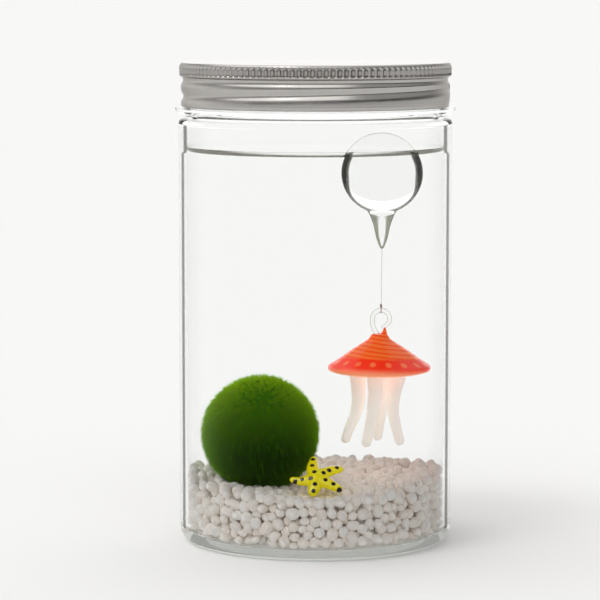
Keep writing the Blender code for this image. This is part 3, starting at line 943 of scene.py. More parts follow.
def jar_corners(jar):
    """The jar's profile as (r, z, rounding): over the inner floor, up, and down outside."""
    inner = jar.radius - jar.wall
    return [
        (0.0, FLOOR_TOP + 0.4 * MM, 0.0),
        (inner, FLOOR_TOP, 3.6 * MM),
        (inner, SHOULDER_TOP - 1.2 * MM, 1.0 * MM),
        (BORE_RADIUS, SHOULDER_TOP + 1.7 * MM, 0.9 * MM),
        (BORE_RADIUS, RIM, 0.7 * MM),
        (FINISH_RADIUS, RIM, 0.7 * MM),
        (FINISH_RADIUS, FLANGE_TOP, 0.4 * MM),
        (FLANGE_RADIUS, FLANGE_TOP, 0.5 * MM),
        (FLANGE_RADIUS - 0.1 * MM, FLANGE_TOP - 0.7 * MM, 0.5 * MM),
        (41.8 * MM, SHOULDER_TOP + 1.35 * MM, 0.4 * MM),
        (NECK_RADIUS, SHOULDER_TOP + 1.1 * MM, 0.4 * MM),
        (NECK_RADIUS, SHOULDER_TOP + 0.2 * MM, 0.4 * MM),
        (jar.radius, SHOULDER_TOP, 1.3 * MM),
        (jar.radius, 0.0, jar.heel * 1.12),
        (33.0 * MM, 0.0, 0.4 * MM),
        (30.5 * MM, 0.84 * MM, 1.2 * MM),
        (0.0, PUSH_UP, 0.0),
    ]


def add_thread(radii, heights, angles):
    """A rounded right-hand bead round the neck's outside, fading out at both ends."""
    turn = angles / TURN
    for round_number in (-1.0, 0.0):
        bead = THREAD_LEFT_HEIGHT + THREAD_PITCH * (turn + round_number)
        started = np.clip((turn + round_number + 0.1) / 0.12, 0.0, 1.0)
        ended = np.clip((0.95 - turn - round_number) / 0.12, 0.0, 1.0)
        hump = np.exp(-(((heights - bead) / THREAD_BEAD_WIDTH) ** 2)) * started * ended
        outside = (radii > FINISH_RADIUS - 0.05 * MM) & (heights > FLANGE_TOP + 0.2 * MM)
        radii = radii + np.where(outside, THREAD_BEAD * hump, 0.0)
    return radii


def keep_row(profile, index):
    """Rows are close on the neck and in the corners, and far apart on the straight sides."""
    radius, height = profile[index]
    straight = 9.0 * MM < height < SHOULDER_TOP - 6.0 * MM
    flat = radius < 29.0 * MM
    return not (straight or flat) or index % 8 == 0


def jar_finish(jar, middle):
    """The number of a face's finish: 0 outside, 1 inside, 2 neck, 3 heel, 4 base with its painted glow."""
    out = math.hypot(middle.x, middle.y)
    if middle.z > SHOULDER_TOP - 1.5 * MM:
        return 2
    # The painted glow of the base also takes the lowest faces of the heel
    if middle.z < 1.2 * MM or middle.z < 3.4 * MM and out < 38.5 * MM:
        return 4
    if middle.z < jar.heel:
        return 3
    return 1 if out < jar.radius - 0.5 * jar.wall else 0


def make_jar(jar):
    """The jar's glass, with the neck's thread, and a finish for each part of its wall."""
    profile = spaced(filleted(jar_corners(jar), 8), 0.6 * MM)
    tall = [point for index, point in enumerate(profile) if keep_row(profile, index)]
    outside = clear_wall(jar, "jar_glass", WALL_BENDING, True, 0.86, 0.5)
    piece = turned("jar", tall, 192, outside, reshape=add_thread)
    # Each part's painted dark rim: where it starts and how dark it gets
    for name, bending, edge_from, edge_share in (
        ("jar_glass_inside", WALL_BENDING, 0.92, 0.3),
        ("jar_glass_neck", NECK_BENDING, 0.9, 0.6),
        ("jar_glass_heel", HEEL_BENDING, 0.94, 0.3),
    ):
        piece.data.materials.append(clear_wall(jar, name, bending, False, edge_from, edge_share))
    piece.data.materials.append(stippled_base_with_painted_glow())
    for face in piece.data.polygons:
        face.material_index = jar_finish(jar, face.center)
    return settle(piece, "jar", "jar_glass", "glass_jar")


def lid_corners():
    """The lid's profile from its top centre, down outside and back up inside."""
    return [
        (0.0, LID_HIGH.z - 0.05 * MM, 0.0),
        (38.2 * MM, LID_HIGH.z - 0.02 * MM, 1.0 * MM),
        (39.2 * MM, LID_HIGH.z, 0.8 * MM),
        (41.6 * MM, LID_HIGH.z, 1.3 * MM),
        (LID_BAND_RADIUS, 148.2 * MM, 0.6 * MM),
        (LID_BAND_RADIUS, FLUTES_LOW - 0.1 * MM, 0.35 * MM),
        (41.3 * MM, FLUTES_LOW - 0.5 * MM, 0.4 * MM),
        (40.95 * MM, FLUTES_LOW - 1.5 * MM, 0.7 * MM),
        (LID_WALL_RADIUS, FLUTES_LOW - 2.8 * MM, 0.9 * MM),
        (LID_WALL_RADIUS, LID_LOW.z + 0.5 * MM, 0.4 * MM),
        (41.4 * MM, LID_LOW.z, 0.2 * MM),
        (40.6 * MM, LID_LOW.z, 0.2 * MM),
        (LID_BORE, LID_LOW.z + 0.6 * MM, 0.2 * MM),
        (LID_BORE, LID_HIGH.z - LID_SHEET, 0.5 * MM),
        (0.0, LID_HIGH.z - LID_SHEET, 0.0),
    ]


def make_lid(lid):
    """The spun lid: a sheet turned to shape, then fluted and rolled."""

    def reshape(radii, heights, angles):
        """Grip flutes in the band, and the groove of the rolled thread below it."""
        outside = radii > 40.7 * MM
        across = np.abs((angles * lid.flutes / TURN) % 1.0 - 0.5) * 2.0
        scoop = np.clip((0.8 - across) / 0.5, 0.0, 1.0)
        round_top = LID_HIGH.z - (0.7 + 0.8 * across**2) * MM
        opened = np.clip((round_top - heights) / (0.5 * MM), 0.0, 1.0)
        closed = np.clip((heights - FLUTES_LOW - 0.15 * MM) / (0.4 * MM), 0.0, 1.0)
        flutes = lid.flute_depth * scoop * (2.0 - scoop) * opened * closed
        groove = np.zeros_like(radii)
        for round_number in (-1.0, 0.0):
            turn = angles / TURN + round_number
            middle = THREAD_LEFT_HEIGHT - GROOVE_DROP + THREAD_PITCH * (turn - 0.5)
            fade = np.clip((turn + 0.06) / 0.1, 0.0, 1.0) * np.clip((1.02 - turn) / 0.06, 0.0, 1.0)
            dip = np.exp(-(((heights - middle) / GROOVE_WIDTH) ** 2)) * fade
            groove = np.maximum(groove, dip)
        wall = np.clip((FLUTES_LOW - 0.9 * MM - heights) / (1.0 * MM), 0.0, 1.0)
        foot = np.clip((heights - LID_LOW.z - 0.1 * MM) / (0.6 * MM), 0.0, 1.0)
        inset = flutes + lid.groove_depth * groove * wall * foot
        return np.where(outside, np.maximum(radii - inset, 40.6 * MM), radii)

    profile = spaced(filleted(lid_corners()), 0.28 * MM)
    rows = [
        point
        for index, point in enumerate(profile)
        if point[0] > 40.45 * MM or index % 12 == 0 or index == len(profile) - 1
    ]
    # Painted shade: the side takes the aluminium darkened to a mid grey, with a dimmed edge reflection
    side = lid_metal("lid_metal", lid, tuple(lid.colour), (0.62, 0.61, 0.6))
    piece = turned("lid", rows, lid.flutes * STEPS_PER_FLUTE, side, reshape=reshape)
    # Painted light: the top takes a near white copy of the same aluminium
    top = lid_metal("lid_top_lit_metal", lid, (0.88, 0.87, 0.85), (1.0, 1.0, 1.0))
    piece.data.materials.append(top)
    for face in piece.data.polygons:
        if face.center.z > LID_HIGH.z - 0.2 * MM and face.normal.z > 0.7:
            face.material_index = 1
    return settle(piece, "lid", "lid_metal", "screw_lid")


def make_liner():
    """The seal disc, with the ring that the jar's rim has pressed into it."""
    radius = LINER_HIGH.x
    corners = [
        (0.0, LINER_HIGH.z, 0.0),
        (radius, LINER_HIGH.z, 0.15 * MM),
        (radius, LINER_LOW.z, 0.15 * MM),
        (FINISH_RADIUS + 0.2 * MM, LINER_LOW.z, 0.1 * MM),
        (FINISH_RADIUS - 0.4 * MM, LINER_LOW.z + 0.12 * MM, 0.2 * MM),
        (BORE_RADIUS + 0.4 * MM, LINER_LOW.z + 0.12 * MM, 0.2 * MM),
        (BORE_RADIUS - 0.2 * MM, LINER_LOW.z, 0.1 * MM),
        (0.0, LINER_LOW.z, 0.0),
    ]
    piece = turned("liner", filleted(corners, 3), 192, liner_foam())
    return settle(piece, "liner", "liner", "lid_liner")


# Water


def float_corners(grow):
    """The bubble with its drawn-out nose, from its top down to the tip."""
    radius = FLOAT_RADIUS + grow
    points = []
    for step in range(41):
        angle = math.radians(90.0 - 158.0 * step / 40)
        points.append((radius * math.cos(angle), FLOAT_MIDDLE + radius * math.sin(angle)))
    nose = (
        (4.2, 11.3),
        (3.75, 10.5),
        (3.4, 9.6),
        (2.9, 8.3),
        (2.45, 6.7),
        (2.15, 5.2),
        (1.85, 3.8),
        (1.5, 2.6),
        (1.12, 1.55),
        (0.75, 0.7),
        (0.4, 0.2),
    )
    for across, up in nose:
        points.append((across * MM + grow, FLOAT_LOW.z + up * MM))
    points[0] = (0.0, FLOAT_MIDDLE + radius)
    points.append((0.0, FLOAT_LOW.z - grow))
    return points


def make_water(jar, water):
    """The water, with its meniscus at the glass and its pocket round the float."""
    side = water_material(water, "water", water.refraction)
    surface = water_material(water, "water_surface", SURFACE_BENDING)
    edge = water_material(water, "water_edge", MENISCUS_BENDING, True)
    joined = water_material(water, "water_at_float", 1.0)
    outer = jar.radius - jar.wall - 0.04 * MM
    foot = outer - water.meniscus * 1.3
    climb = []
    for step in range(9):
        out = outer - (outer - foot) * (1.0 - step / 8) ** 1.6
        climb.append((out, WATER_TOP + water.meniscus * (step / 8) ** 2.2))
    profile = [(0.0, WATER_TOP), (12.0 * MM, WATER_TOP), (26.0 * MM, WATER_TOP), *climb]
    profile += [(outer, 90.0 * MM), (outer, 50.0 * MM), (outer, 12.0 * MM)]
    low = (outer, FLOOR_TOP + 0.05 * MM, 3.6 * MM)
    profile += filleted([(outer, 11.0 * MM, 0.0), low, (0.0, FLOOR_TOP + 0.45 * MM, 0.0)])
    body = turned("water", profile, 192, side)
    space = turned("float_space", float_corners(0.02 * MM), 128, side, (FLOAT_X, 0.0))
    for piece in (body, space):
        for finish in (surface, edge, joined):
            piece.data.materials.append(finish)
    for face in body.data.polygons:
        if face.center.z > WATER_TOP + 0.005 * MM:
            face.material_index = 2
        elif face.normal.z > 0.2:
            face.material_index = 1
    for face in space.data.polygons:
        face.material_index = 3
    cut = body.modifiers.new("Room for the float", "BOOLEAN")
    cut.operation = "DIFFERENCE"
    cut.object = space
    graph = bpy.context.evaluated_depsgraph_get()
    body.data = bpy.data.meshes.new_from_object(body.evaluated_get(graph))
    body.modifiers.clear()
    bpy.data.objects.remove(space)
    body.data.set_sharp_from_angle(angle=SHARP)
    return settle(body, "jar", "water", "water")


# Gravel


def bed_height(x, y):
    """Top of the gravel: heaped at the sides, low in front and round the starfish."""
    across = x / BED_RADIUS
    back = y / BED_RADIUS
    from_star = np.hypot(x - STAR_CENTRE.x, y - STAR_CENTRE.y + 3.0 * MM)
    dip = np.exp(-((from_star / (11.0 * MM)) ** 2))
    rise = 4.3 * across**2 + 0.2 * across + 0.9 * back**2 + 0.45 * back
    return (18.9 + rise - 1.5 * dip) * MM


def close_pairs(middles, reach):
    """Index pairs of grains whose middles lie within reach of each other."""
    firsts = []
    seconds = []
    for start in range(0, len(middles), 300):
        away = middles[start : start + 300, None, :] - middles[None, :, :]
        first, second = np.nonzero((away**2).sum(-1) < reach**2)
        ordered = first + start < second
        firsts.append(first[ordered] + start)
        seconds.append(second[ordered])
    return np.concatenate(firsts), np.concatenate(seconds)


def packed_grains(jar, gravel):
    """Middles and radii of grains that have settled against each other and the glass."""
    chance = np.random.default_rng(SEED)
    count = gravel.grains
    radii = gravel.smallest + (gravel.largest - gravel.smallest) * chance.beta(1.6, 2.0, count)
    inner = jar.radius - jar.wall - 0.06 * MM
    angle = chance.random(count) * TURN
    reach = np.sqrt(chance.random(count)) * (inner - 2.0 * MM)
    middles = np.stack((reach * np.cos(angle), reach * np.sin(angle), np.zeros(count)), axis=1)
    top = bed_height(middles[:, 0], middles[:, 1])
    middles[:, 2] = FLOOR_TOP + 2.0 * MM + chance.random(count) * (top - FLOOR_TOP - 3.5 * MM)
    ball = np.array(BALL_CENTRE)
    hollow = (BALL_HIGH.z - BALL_LOW.z) / 2.0 - 1.3 * MM
    for step in range(110):
        if step % 6 == 0:
            first, second = close_pairs(middles, 2.6 * gravel.largest)
        away = middles[first] - middles[second]
        apart = np.sqrt((away**2).sum(-1)) + 1e-9
        push = np.clip(0.95 * (radii[first] + radii[second]) - apart, 0.0, None)
        nudge = away * (0.32 * push / apart)[:, None]
        for axis in range(3):
            middles[:, axis] += np.bincount(first, nudge[:, axis], count)
            middles[:, axis] -= np.bincount(second, nudge[:, axis], count)
        out = np.hypot(middles[:, 0], middles[:, 1]) + 1e-9
        limit = inner - radii * 0.97
        inward = np.minimum(1.0, limit / out)
        middles[:, :2] *= inward[:, None]
        from_ball = middles - ball
        distance = np.sqrt((from_ball**2).sum(-1))
        clear = np.maximum(hollow + 0.8 * radii - distance, 0.0)
        middles += from_ball / distance[:, None] * clear[:, None]
        top = bed_height(middles[:, 0], middles[:, 1]) - 0.72 * radii
        corner = np.clip(out + radii - (inner - 3.0 * MM), 0.0, None)
        bottom = FLOOR_TOP + 0.2 * MM + radii * 0.92 + corner**2 / (9.0 * MM)
        middles[:, 2] = np.clip(middles[:, 2], bottom, np.maximum(top, bottom))
    return middles, radii


def grain_meshes(name, middles, radii, detail, material, chance):
    """One joined mesh of tumbled pebbles."""
    shape = bmesh.new()
    bmesh.ops.create_icosphere(shape, subdivisions=detail, radius=1.0)
    ball = np.array([point.co for point in shape.verts])
    faces = np.array([[point.index for point in face.verts] for face in shape.faces])
    shape.free()
    count = len(radii)
    ranges = ((1.0, 1.14), (0.92, 1.05), (0.84, 0.97))
    squash = np.stack([chance.uniform(low, high, count) for low, high in ranges], 1)
    points = ball[None] * squash[:, None, :]
    for strength, scale in ((0.04, 1.7), (0.02, 3.1)):
        phase = chance.random((count, 1, 3)) * TURN
        waves = np.sin(scale * ball[None] + phase)
        points *= 1.0 + strength * waves.sum(-1, keepdims=True)
    axis = chance.normal(size=(count, 3))
    axis /= np.linalg.norm(axis, axis=1, keepdims=True)
    angle = chance.random(count) * TURN
    cosine = np.cos(angle)[:, None, None]
    sine = np.sin(angle)[:, None, None]
    along = axis[:, None, :]
    points = (
        points * cosine
        + np.cross(along, points) * sine
        + along * (points * along).sum(-1, keepdims=True) * (1.0 - cosine)
    )
    points = points * radii[:, None, None] + middles[:, None, :]
    faces = faces[None] + (np.arange(count) * len(ball))[:, None, None]
    piece = mesh_object(name, points.reshape(-1, 3), faces.reshape(-1, 3), material)
    shades = np.repeat(chance.random(count), len(ball)).astype(np.float32)
    layer = piece.data.attributes.new("shade", "FLOAT", "POINT")
    layer.data.foreach_set("value", shades)
    return piece


def make_gravel(jar, gravel):
    """The bed, in three meshes: finer grains where they are seen, plainer ones within."""
    middles, radii = packed_grains(jar, gravel)
    chance = np.random.default_rng(SEED + 1)
    out = np.hypot(middles[:, 0], middles[:, 1])
    depth = bed_height(middles[:, 0], middles[:, 1]) - middles[:, 2]
    at_glass = jar.radius - jar.wall - out < 3.4 * MM
    on_top = depth < 3.6 * MM
    stone = gravel_stone(gravel)
    groups = (
        ("gravel_at_glass", at_glass & ~on_top, 3),
        ("gravel_on_top", on_top, 3),
        ("gravel_within", ~at_glass & ~on_top, 2),
    )
    for name, chosen, detail in groups:
        piece = grain_meshes(name, middles[chosen], radii[chosen], detail, stone, chance)
        settle(piece, "jar", "gravel", "gravel_bed")


# Moss ball

LUMPINESS = 0.012
FELT_DEPTH = 1.5 * MM


def moss_lumps(directions):
    """Slow unevenness of the ball, from -1 to 1."""
    x, y, z = directions.T
    return 0.5 * np.sin(4.0 * x + 1.0) + 0.5 * np.sin(5.0 * y) * np.cos(3.0 * z)


def turned_at_random(chance, count):
    """Unit vectors that point every way."""
    normals = chance.normal(size=(count, 3))
    return normals / np.linalg.norm(normals, axis=1, keepdims=True)


def combed(normals):
    """The way the threads lie: away from a crown above the front, and drooping."""
    crown = np.array((0.02, -0.74, 0.67))
    away = normals * (normals @ crown)[:, None] - crown[None]
    away /= np.linalg.norm(away, axis=1, keepdims=True) + 0.3
    down = normals * normals[:, 2:3] - np.array((0.0, 0.0, 1.0))[None]
    return away * 0.8 + down * 0.35


def moss_threads(moss, radius, chance):
    """Roots, bends and tips of the threads, most of them gathered into small locks."""

    def grow(normals, lean, reach, depth):
        base = radius * (1.0 + LUMPINESS * moss_lumps(normals)) - moss.length * 0.45 - depth
        roots = normals * base[:, None]
        bends = roots + (normals * 0.26 + lean * 0.36) * reach
        return roots, bends, bends + (normals * 0.14 + lean * 0.66) * reach

    locks = turned_at_random(chance, moss.locks)
    lean = combed(locks) + chance.normal(size=locks.shape) * 0.2
    reach = moss.length * chance.uniform(0.85, 1.2, moss.locks)[:, None]
    _, lock_bends, lock_tips = grow(locks, lean, reach, np.zeros(moss.locks))
    count = moss.threads
    normals = turned_at_random(chance, count)
    nearest = np.concatenate([(part @ locks.T).argmax(1) for part in np.array_split(normals, 80)])
    lean = combed(normals) + chance.normal(size=(count, 3)) * 0.16
    reach = moss.length * chance.uniform(0.7, 1.15, count)[:, None]
    roots, bends, tips = grow(normals, lean, reach, chance.uniform(0.0, 0.5 * MM, count))
    gather = np.where(chance.random(count) < 0.75, chance.uniform(0.5, 0.9, count), 0.0)[:, None]
    bends += (lock_bends[nearest] - bends) * gather * 0.45
    tips += (lock_tips[nearest] - tips) * gather
    loose = chance.random(count) < 0.4
    tips += np.where(loose, chance.uniform(0.25, 0.8, count), 0.0)[:, None] * normals * reach
    far = np.linalg.norm(tips, axis=1)
    loose_reach = chance.uniform(-0.5, 0.5, count)
    proud = np.where(loose, loose_reach, chance.uniform(-1.3, -0.7, count)) * MM
    limit = radius * (1.0 + LUMPINESS * moss_lumps(tips / far[:, None])) + proud
    tips *= np.minimum(1.0, limit / far)[:, None]
    return roots, bends, tips, nearest, normals


def make_moss_ball(moss):
    """The ball: tapered threads with normals that point outwards, over a matted body."""
    chance = np.random.default_rng(SEED + 2)
    radius = (BALL_HIGH.x - BALL_LOW.x) / 2.0 + 0.3 * MM
    roots, bends, tips, lock, normals = moss_threads(moss, radius, chance)
    count = len(roots)
    across = np.cross(tips - roots, normals + 0.45 * chance.normal(size=(count, 3)))
    across /= np.linalg.norm(across, axis=1, keepdims=True)
    strand = chance.random(count) < 0.14
    half = 0.5 * moss.width * np.where(strand, 1.45, chance.uniform(0.6, 1.1, count))[:, None]
    side = across * half
    corners = (roots - side, roots + side, bends - side * 0.8, bends + side * 0.8, tips)
    points = np.stack(corners, 1)
    points = points.reshape(-1, 3) + np.array(BALL_CENTRE)
    first = np.arange(count) * 5
    faces = np.concatenate(
        (
            np.stack((first, first + 1, first + 3), 1),
            np.stack((first, first + 3, first + 2), 1),
            np.stack((first + 2, first + 3, first + 4), 1),
        )
    )
    threads = mesh_object("moss_threads", points, faces, moss_threads_material(moss))
    shade = 0.35 * chance.random(moss.locks)[lock] + 0.35 * chance.random(count)
    # Painted light: how far each thread faces up and back, which brightens its colour
    upwards = normals @ np.array((-0.1, 0.78, 0.62))
    painted_sunlight = np.clip(0.66 + 0.8 * upwards, 0.0, 1.0)
    values = {
        "along": np.tile(np.array((0.0, 0.0, 0.5, 0.5, 1.0), np.float32), count),
        "shade": np.repeat(np.where(strand, 1.0, shade).astype(np.float32), 5),
        "painted_sunlight": np.repeat(painted_sunlight.astype(np.float32), 5),
    }
    for name, value in values.items():
        threads.data.attributes.new(name, "FLOAT", "POINT").data.foreach_set("value", value)
    outwards = normals + 0.22 * turned_at_random(chance, count)
    threads.data.normals_split_custom_set_from_vertices(np.repeat(outwards, 5, axis=0).tolist())
    settle(threads, "jar", "moss", "moss_ball")

    shape = bmesh.new()
    bmesh.ops.create_icosphere(shape, subdivisions=5, radius=1.0)
    directions = np.array([point.co for point in shape.verts])
    x, y, z = directions.T
    grain = 0.02 * np.sin(23.0 * x + 2.0) * np.sin(19.0 * y) * np.sin(21.0 * z)
    felt_radius = radius * (1.0 + LUMPINESS * moss_lumps(directions) + grain) - FELT_DEPTH
    for point, direction, size in zip(shape.verts, directions, felt_radius):
        point.co = Vector(direction) * size + BALL_CENTRE
    felt = piece_from(shape, "moss_felt", moss_felt_material())
    settle(felt, "jar", "moss", "moss_ball")


# Glass ornaments

# The starfish as (across, up, radius) in mm: its body, and the elbow and tip of each arm
STAR_BODY = (-0.3, -0.6, 2.5)
STAR_ARMS = (
    ((-1.3, 3.4, 1.95), (-1.0, 7.3, 1.15)),
    ((3.6, 2.3, 1.75), (6.9, 3.2, 1.2)),
    ((3.6, -2.9, 1.75), (6.5, -4.8, 1.3)),
    ((-0.7, -4.0, 2.1), (-1.3, -6.3, 1.45)),
    ((-4.6, -1.7, 1.5), (-7.3, -1.1, 1.05)),
)


def make_starfish(ornaments):
    """Five bent and tapered arms melted together, then softened."""
    shape = bmesh.new()
    for elbow, tip in STAR_ARMS:
        route = smooth_route([STAR_BODY, elbow, tip], 15)
        for across, up, size in route:
            made = bmesh.ops.create_icosphere(shape, subdivisions=3, radius=size * MM)
            for point in made["verts"]:
                point.co.z *= 0.8
                point.co.x += across * MM
                point.co.y += up * MM
    star = piece_from(shape, "starfish_glass", star_glass(ornaments))
    star.location = STAR_CENTRE
    star.rotation_euler = (STAR_TILT, 0.0, 0.0)
    melt = star.modifiers.new("Melt together", "REMESH")
    melt.mode = "VOXEL"
    melt.voxel_size = 0.2 * MM
    melt.use_smooth_shade = True
    soften = star.modifiers.new("Soften", "SMOOTH")
    soften.factor = 0.5
    soften.iterations = 8
    return settle(star, "jar", "yellow_glass", "starfish")


def make_float():
    """The hollow bubble: an outer skin, and the inside of its thin wall."""
    outer = float_corners(0.0)
    inner = [(max(0.0, r - FLOAT_WALL), z) for r, z in outer[1:-1]]
    inner_top = (0.0, FLOAT_MIDDLE + FLOAT_RADIUS - FLOAT_WALL)
    inner = [inner_top, *inner, (0.0, FLOAT_LOW.z + 1.2 * MM)]
    above = float_glass("float_glass", FLOAT_BENDING, "air")
    below = float_glass("float_glass_under_water", FLOAT_BENDING_UNDER_WATER, "water")
    lining = float_glass("float_glass_inside", FLOAT_BENDING, "inside")
    bubble = turned("float", outer, 128, above, (FLOAT_X, 0.0))
    inside = turned("float_inside", list(reversed(inner)), 128, above, (FLOAT_X, 0.0))
    for finish in (below, lining):
        bubble.data.materials.append(finish)
        inside.data.materials.append(finish)
    for face in bubble.data.polygons:
        if face.center.z < WATER_TOP - 1.2 * MM:
            face.material_index = 1
    for face in inside.data.polygons:
        face.material_index = 2
    shape = bmesh.new()
    shape.from_mesh(bubble.data)
    shape.from_mesh(inside.data)
    shape.to_mesh(bubble.data)
    shape.free()
    bpy.data.objects.remove(inside)
    return settle(bubble, "jar", "float_glass", "glass_float")


def make_line():
    """The nylon line, its knot, and the loop round the eye."""
    material = nylon("nylon_line", (0.76, 0.72, 0.7), (0.9, 0.88, 0.86), 0.7)
    tied = nylon("nylon_knot", (0.5, 0.44, 0.38), (0.68, 0.62, 0.56), 0.3)
    eye_top = EYE_CENTRE + Vector((0.0, 0.0, EYE_RADIUS))
    loop = EYE_ROD + 0.12 * MM
    start = Vector((FLOAT_X, 0.0, FLOAT_LOW.z - 0.05 * MM))
    knot = eye_top + Vector((0.0, 0.0, loop + 0.5 * MM))
    straight = [start.lerp(knot, share) for share in (0.0, 0.25, 0.5, 0.75, 1.0)]
    line = tube("line", straight, [LINE_RADIUS] * 5, 10, material)
    turns = []
    for step in range(45):
        turn = TURN * 2.5 * step / 44
        rise = (step / 44 - 0.5) * 0.9 * MM
        turns.append(knot + Vector((0.22 * MM * math.cos(turn), 0.22 * MM * math.sin(turn), rise)))
    wrapped = tube("line_knot", turns, [0.2 * MM] * 45, 8, tied, True)
    round_eye = []
    for step in range(33):
        turn = TURN * step / 32
        round_eye.append(eye_top + Vector((0.0, loop * math.sin(turn), loop * math.cos(turn))))
    looped = tube("line_loop", round_eye, [0.14 * MM] * 33, 8, tied, True)
    for piece in (line, wrapped, looped):
        settle(piece, "jar", "nylon_line", "hanging_line")


def make_eye():
    """The clear rod, bent into an open ring on top of the bell."""
    shank = ((-1.3, 0.0, -4.75), (-2.1, 0.0, -3.3), (-2.6, 0.0, -1.7))
    route = [EYE_CENTRE + Vector(step) * MM for step in shank]
    for step in range(12):
        angle = math.radians(180.0 - 23.5 * step)
        route.append(EYE_CENTRE + Vector((math.cos(angle), 0.0, math.sin(angle))) * EYE_RADIUS)
    count = 90
    points = smooth_route(route, count)
    radii = [EYE_ROD * (1.0 - 0.35 * max(0.0, step / count - 0.8) / 0.2) for step in range(count)]
    ring = tube("jellyfish_ring", points, radii, 20, clear_rod_glass(), True)
    return settle(ring, "jar", "eye_glass", "jellyfish_eye")


def make_bell(ornaments):
    """The flared bell, with the drawn-out peak where its glass was pulled off."""
    top = BELL_TOP
    low = BELL_LOW.z
    wide = BELL_RADIUS
    corners = [
        (0.0, top + 0.1 * MM, 0.0),
        (2.4 * MM, top, 0.5 * MM),
        (3.4 * MM, top - 1.7 * MM, 1.2 * MM),
        (7.8 * MM, top - 4.4 * MM, 2.6 * MM),
        (13.0 * MM, top - 8.2 * MM, 2.4 * MM),
        (wide, top - 10.0 * MM, 1.0 * MM),
        (wide - 0.1 * MM, low + 0.9 * MM, 0.6 * MM),
        (wide - 2.8 * MM, low, 1.4 * MM),
        (0.0, low, 0.0),
    ]
    profile = spaced(filleted(corners, 10), 0.5 * MM)
    glass = bell_glass(ornaments)
    piece = turned("jellyfish_bell_glass", profile, 160, glass, (BELL_X, 0.0))
    peak = Vector((BELL_X + 0.95 * MM, 0.0, top - 1.4 * MM))
    tip = Vector((BELL_X + 1.65 * MM, 0.0, top + 1.75 * MM))
    route = smooth_route([peak, peak.lerp(tip, 0.5) + Vector((0.2 * MM, 0.0, 0.0)), tip], 12)
    radii = [(1.75 - 1.45 * (step / 11) ** 0.8) * MM for step in range(12)]
    drawn = tube("jellyfish_peak", route, radii, 16, glass, True)
    settle(piece, "jar", "orange_glass", "jellyfish_bell")
    return settle(drawn, "jar", "orange_glass", "jellyfish_bell")


# The tentacles' places (x, y) from top to bottom, the heights of their tips and their radii, in mm
TENTACLE_ROUTES = (
    ((13.2, -1.5), (13.4, -1.8), (13.4, -2.0), (12.6, -2.2), (10.9, -2.4), (9.5, -2.5)),
    ((18.4, -5.5), (18.6, -5.8), (18.2, -6.1), (17.6, -6.3), (16.7, -6.4), (15.8, -6.5)),
    ((25.8, -1.0), (24.7, -1.3), (24.1, -1.5), (24.3, -1.6), (25.2, -1.7), (26.2, -1.8)),
    ((22.0, 5.5), (21.7, 5.7), (21.2, 5.9), (20.6, 6.0), (20.1, 6.1), (19.6, 6.2)),
)
TENTACLE_TIPS = (28.0, 27.2, 27.0, 27.4)
TENTACLE_RADII = (2.7, 2.55, 2.3, 2.1, 1.8, 1.6, 1.5)


def make_tentacles(ornaments):
    """Four frosted rods that hang from the bell and curve a little, thinner downwards."""
    material = frosted_glass(ornaments)
    top = BELL_LOW.z + 0.3 * MM
    for number, (route, tip) in enumerate(zip(TENTACLE_ROUTES, TENTACLE_TIPS), start=1):
        drop = top - 1.0 * MM - tip * MM
        points = [(route[0][0] * MM, route[0][1] * MM, top)]
        for index, (x, y) in enumerate(route):
            points.append((x * MM, y * MM, top - 1.0 * MM - drop * index / len(route)))
        count = 48
        radii = np.interp(np.linspace(0.0, 6.0, count), range(7), TENTACLE_RADII) * MM
        route = smooth_route(points, count)
        piece = tube(f"jellyfish_tentacle_glass_{number}", route, radii, 28, material)
        settle(piece, "jar", "frosted_glass", f"jellyfish_tentacle_{number}")


# Stage


def make_floor(stage):
    """A floor so wide that its far edge lies at the horizon."""
    corners = [(x * FLOOR_REACH, y * FLOOR_REACH, 0.0) for x, y in ((-1, -1), (1, -1), (1, 1), (-1, 1))]
    floor = mesh_object("floor", corners, [(0, 1, 2, 3)], floor_paper(stage))


def make_light(stage):
    """A studio's soft light: a bright back, a dim front and right, and two broad lights overhead."""
    world = bpy.data.worlds.new("studio")
    world.use_nodes = True
    tree = world.node_tree
    direction = node(tree, "TexCoord").outputs["Generated"]

    def towards(aim):
        dot = node(tree, "VectorMath", operation="DOT_PRODUCT")
        put(tree, dot.inputs[0], direction)
        dot.inputs[1].default_value = Vector(aim).normalized()
        return dot.outputs["Value"]

    height = towards((0.0, 0.0, 1.0))
    behind = eased(tree, towards((-0.25, 1.0, 0.0)), -0.6, 0.9, 0.3, 1.12)
    right = eased(tree, towards((1.0, -0.25, 0.0)), 0.1, 0.8, 1.0, 0.3)
    low = times(tree, behind, right)
    above = eased(tree, height, 0.2, 0.5)
    over = times(tree, above, stage.ceiling)
    total = plus(tree, times(tree, low, minus(tree, 1.0, above)), over)
    key = eased(tree, towards((0.0, 0.5, 0.85)), 0.78, 0.96)
    strip = times(tree, eased(tree, height, 0.55, 0.68), eased(tree, height, 0.86, 0.94, 1.0, 0.0))
    strip = times(tree, strip, eased(tree, towards((-0.75, -0.65, 0.0)), -0.12, 0.2))
    lamp = eased(tree, towards((-0.3, -0.3, 0.9)), 0.984, 0.991)
    for light, strength in ((lamp, stage.lamp), (key, stage.key), (strip, stage.window)):
        total = plus(tree, total, times(tree, light, strength))
    background = tree.nodes["Background"]
    put(tree, background.inputs["Color"], (1.0, 0.995, 0.985))
    put(tree, background.inputs["Strength"], total)
    bpy.context.scene.world = world


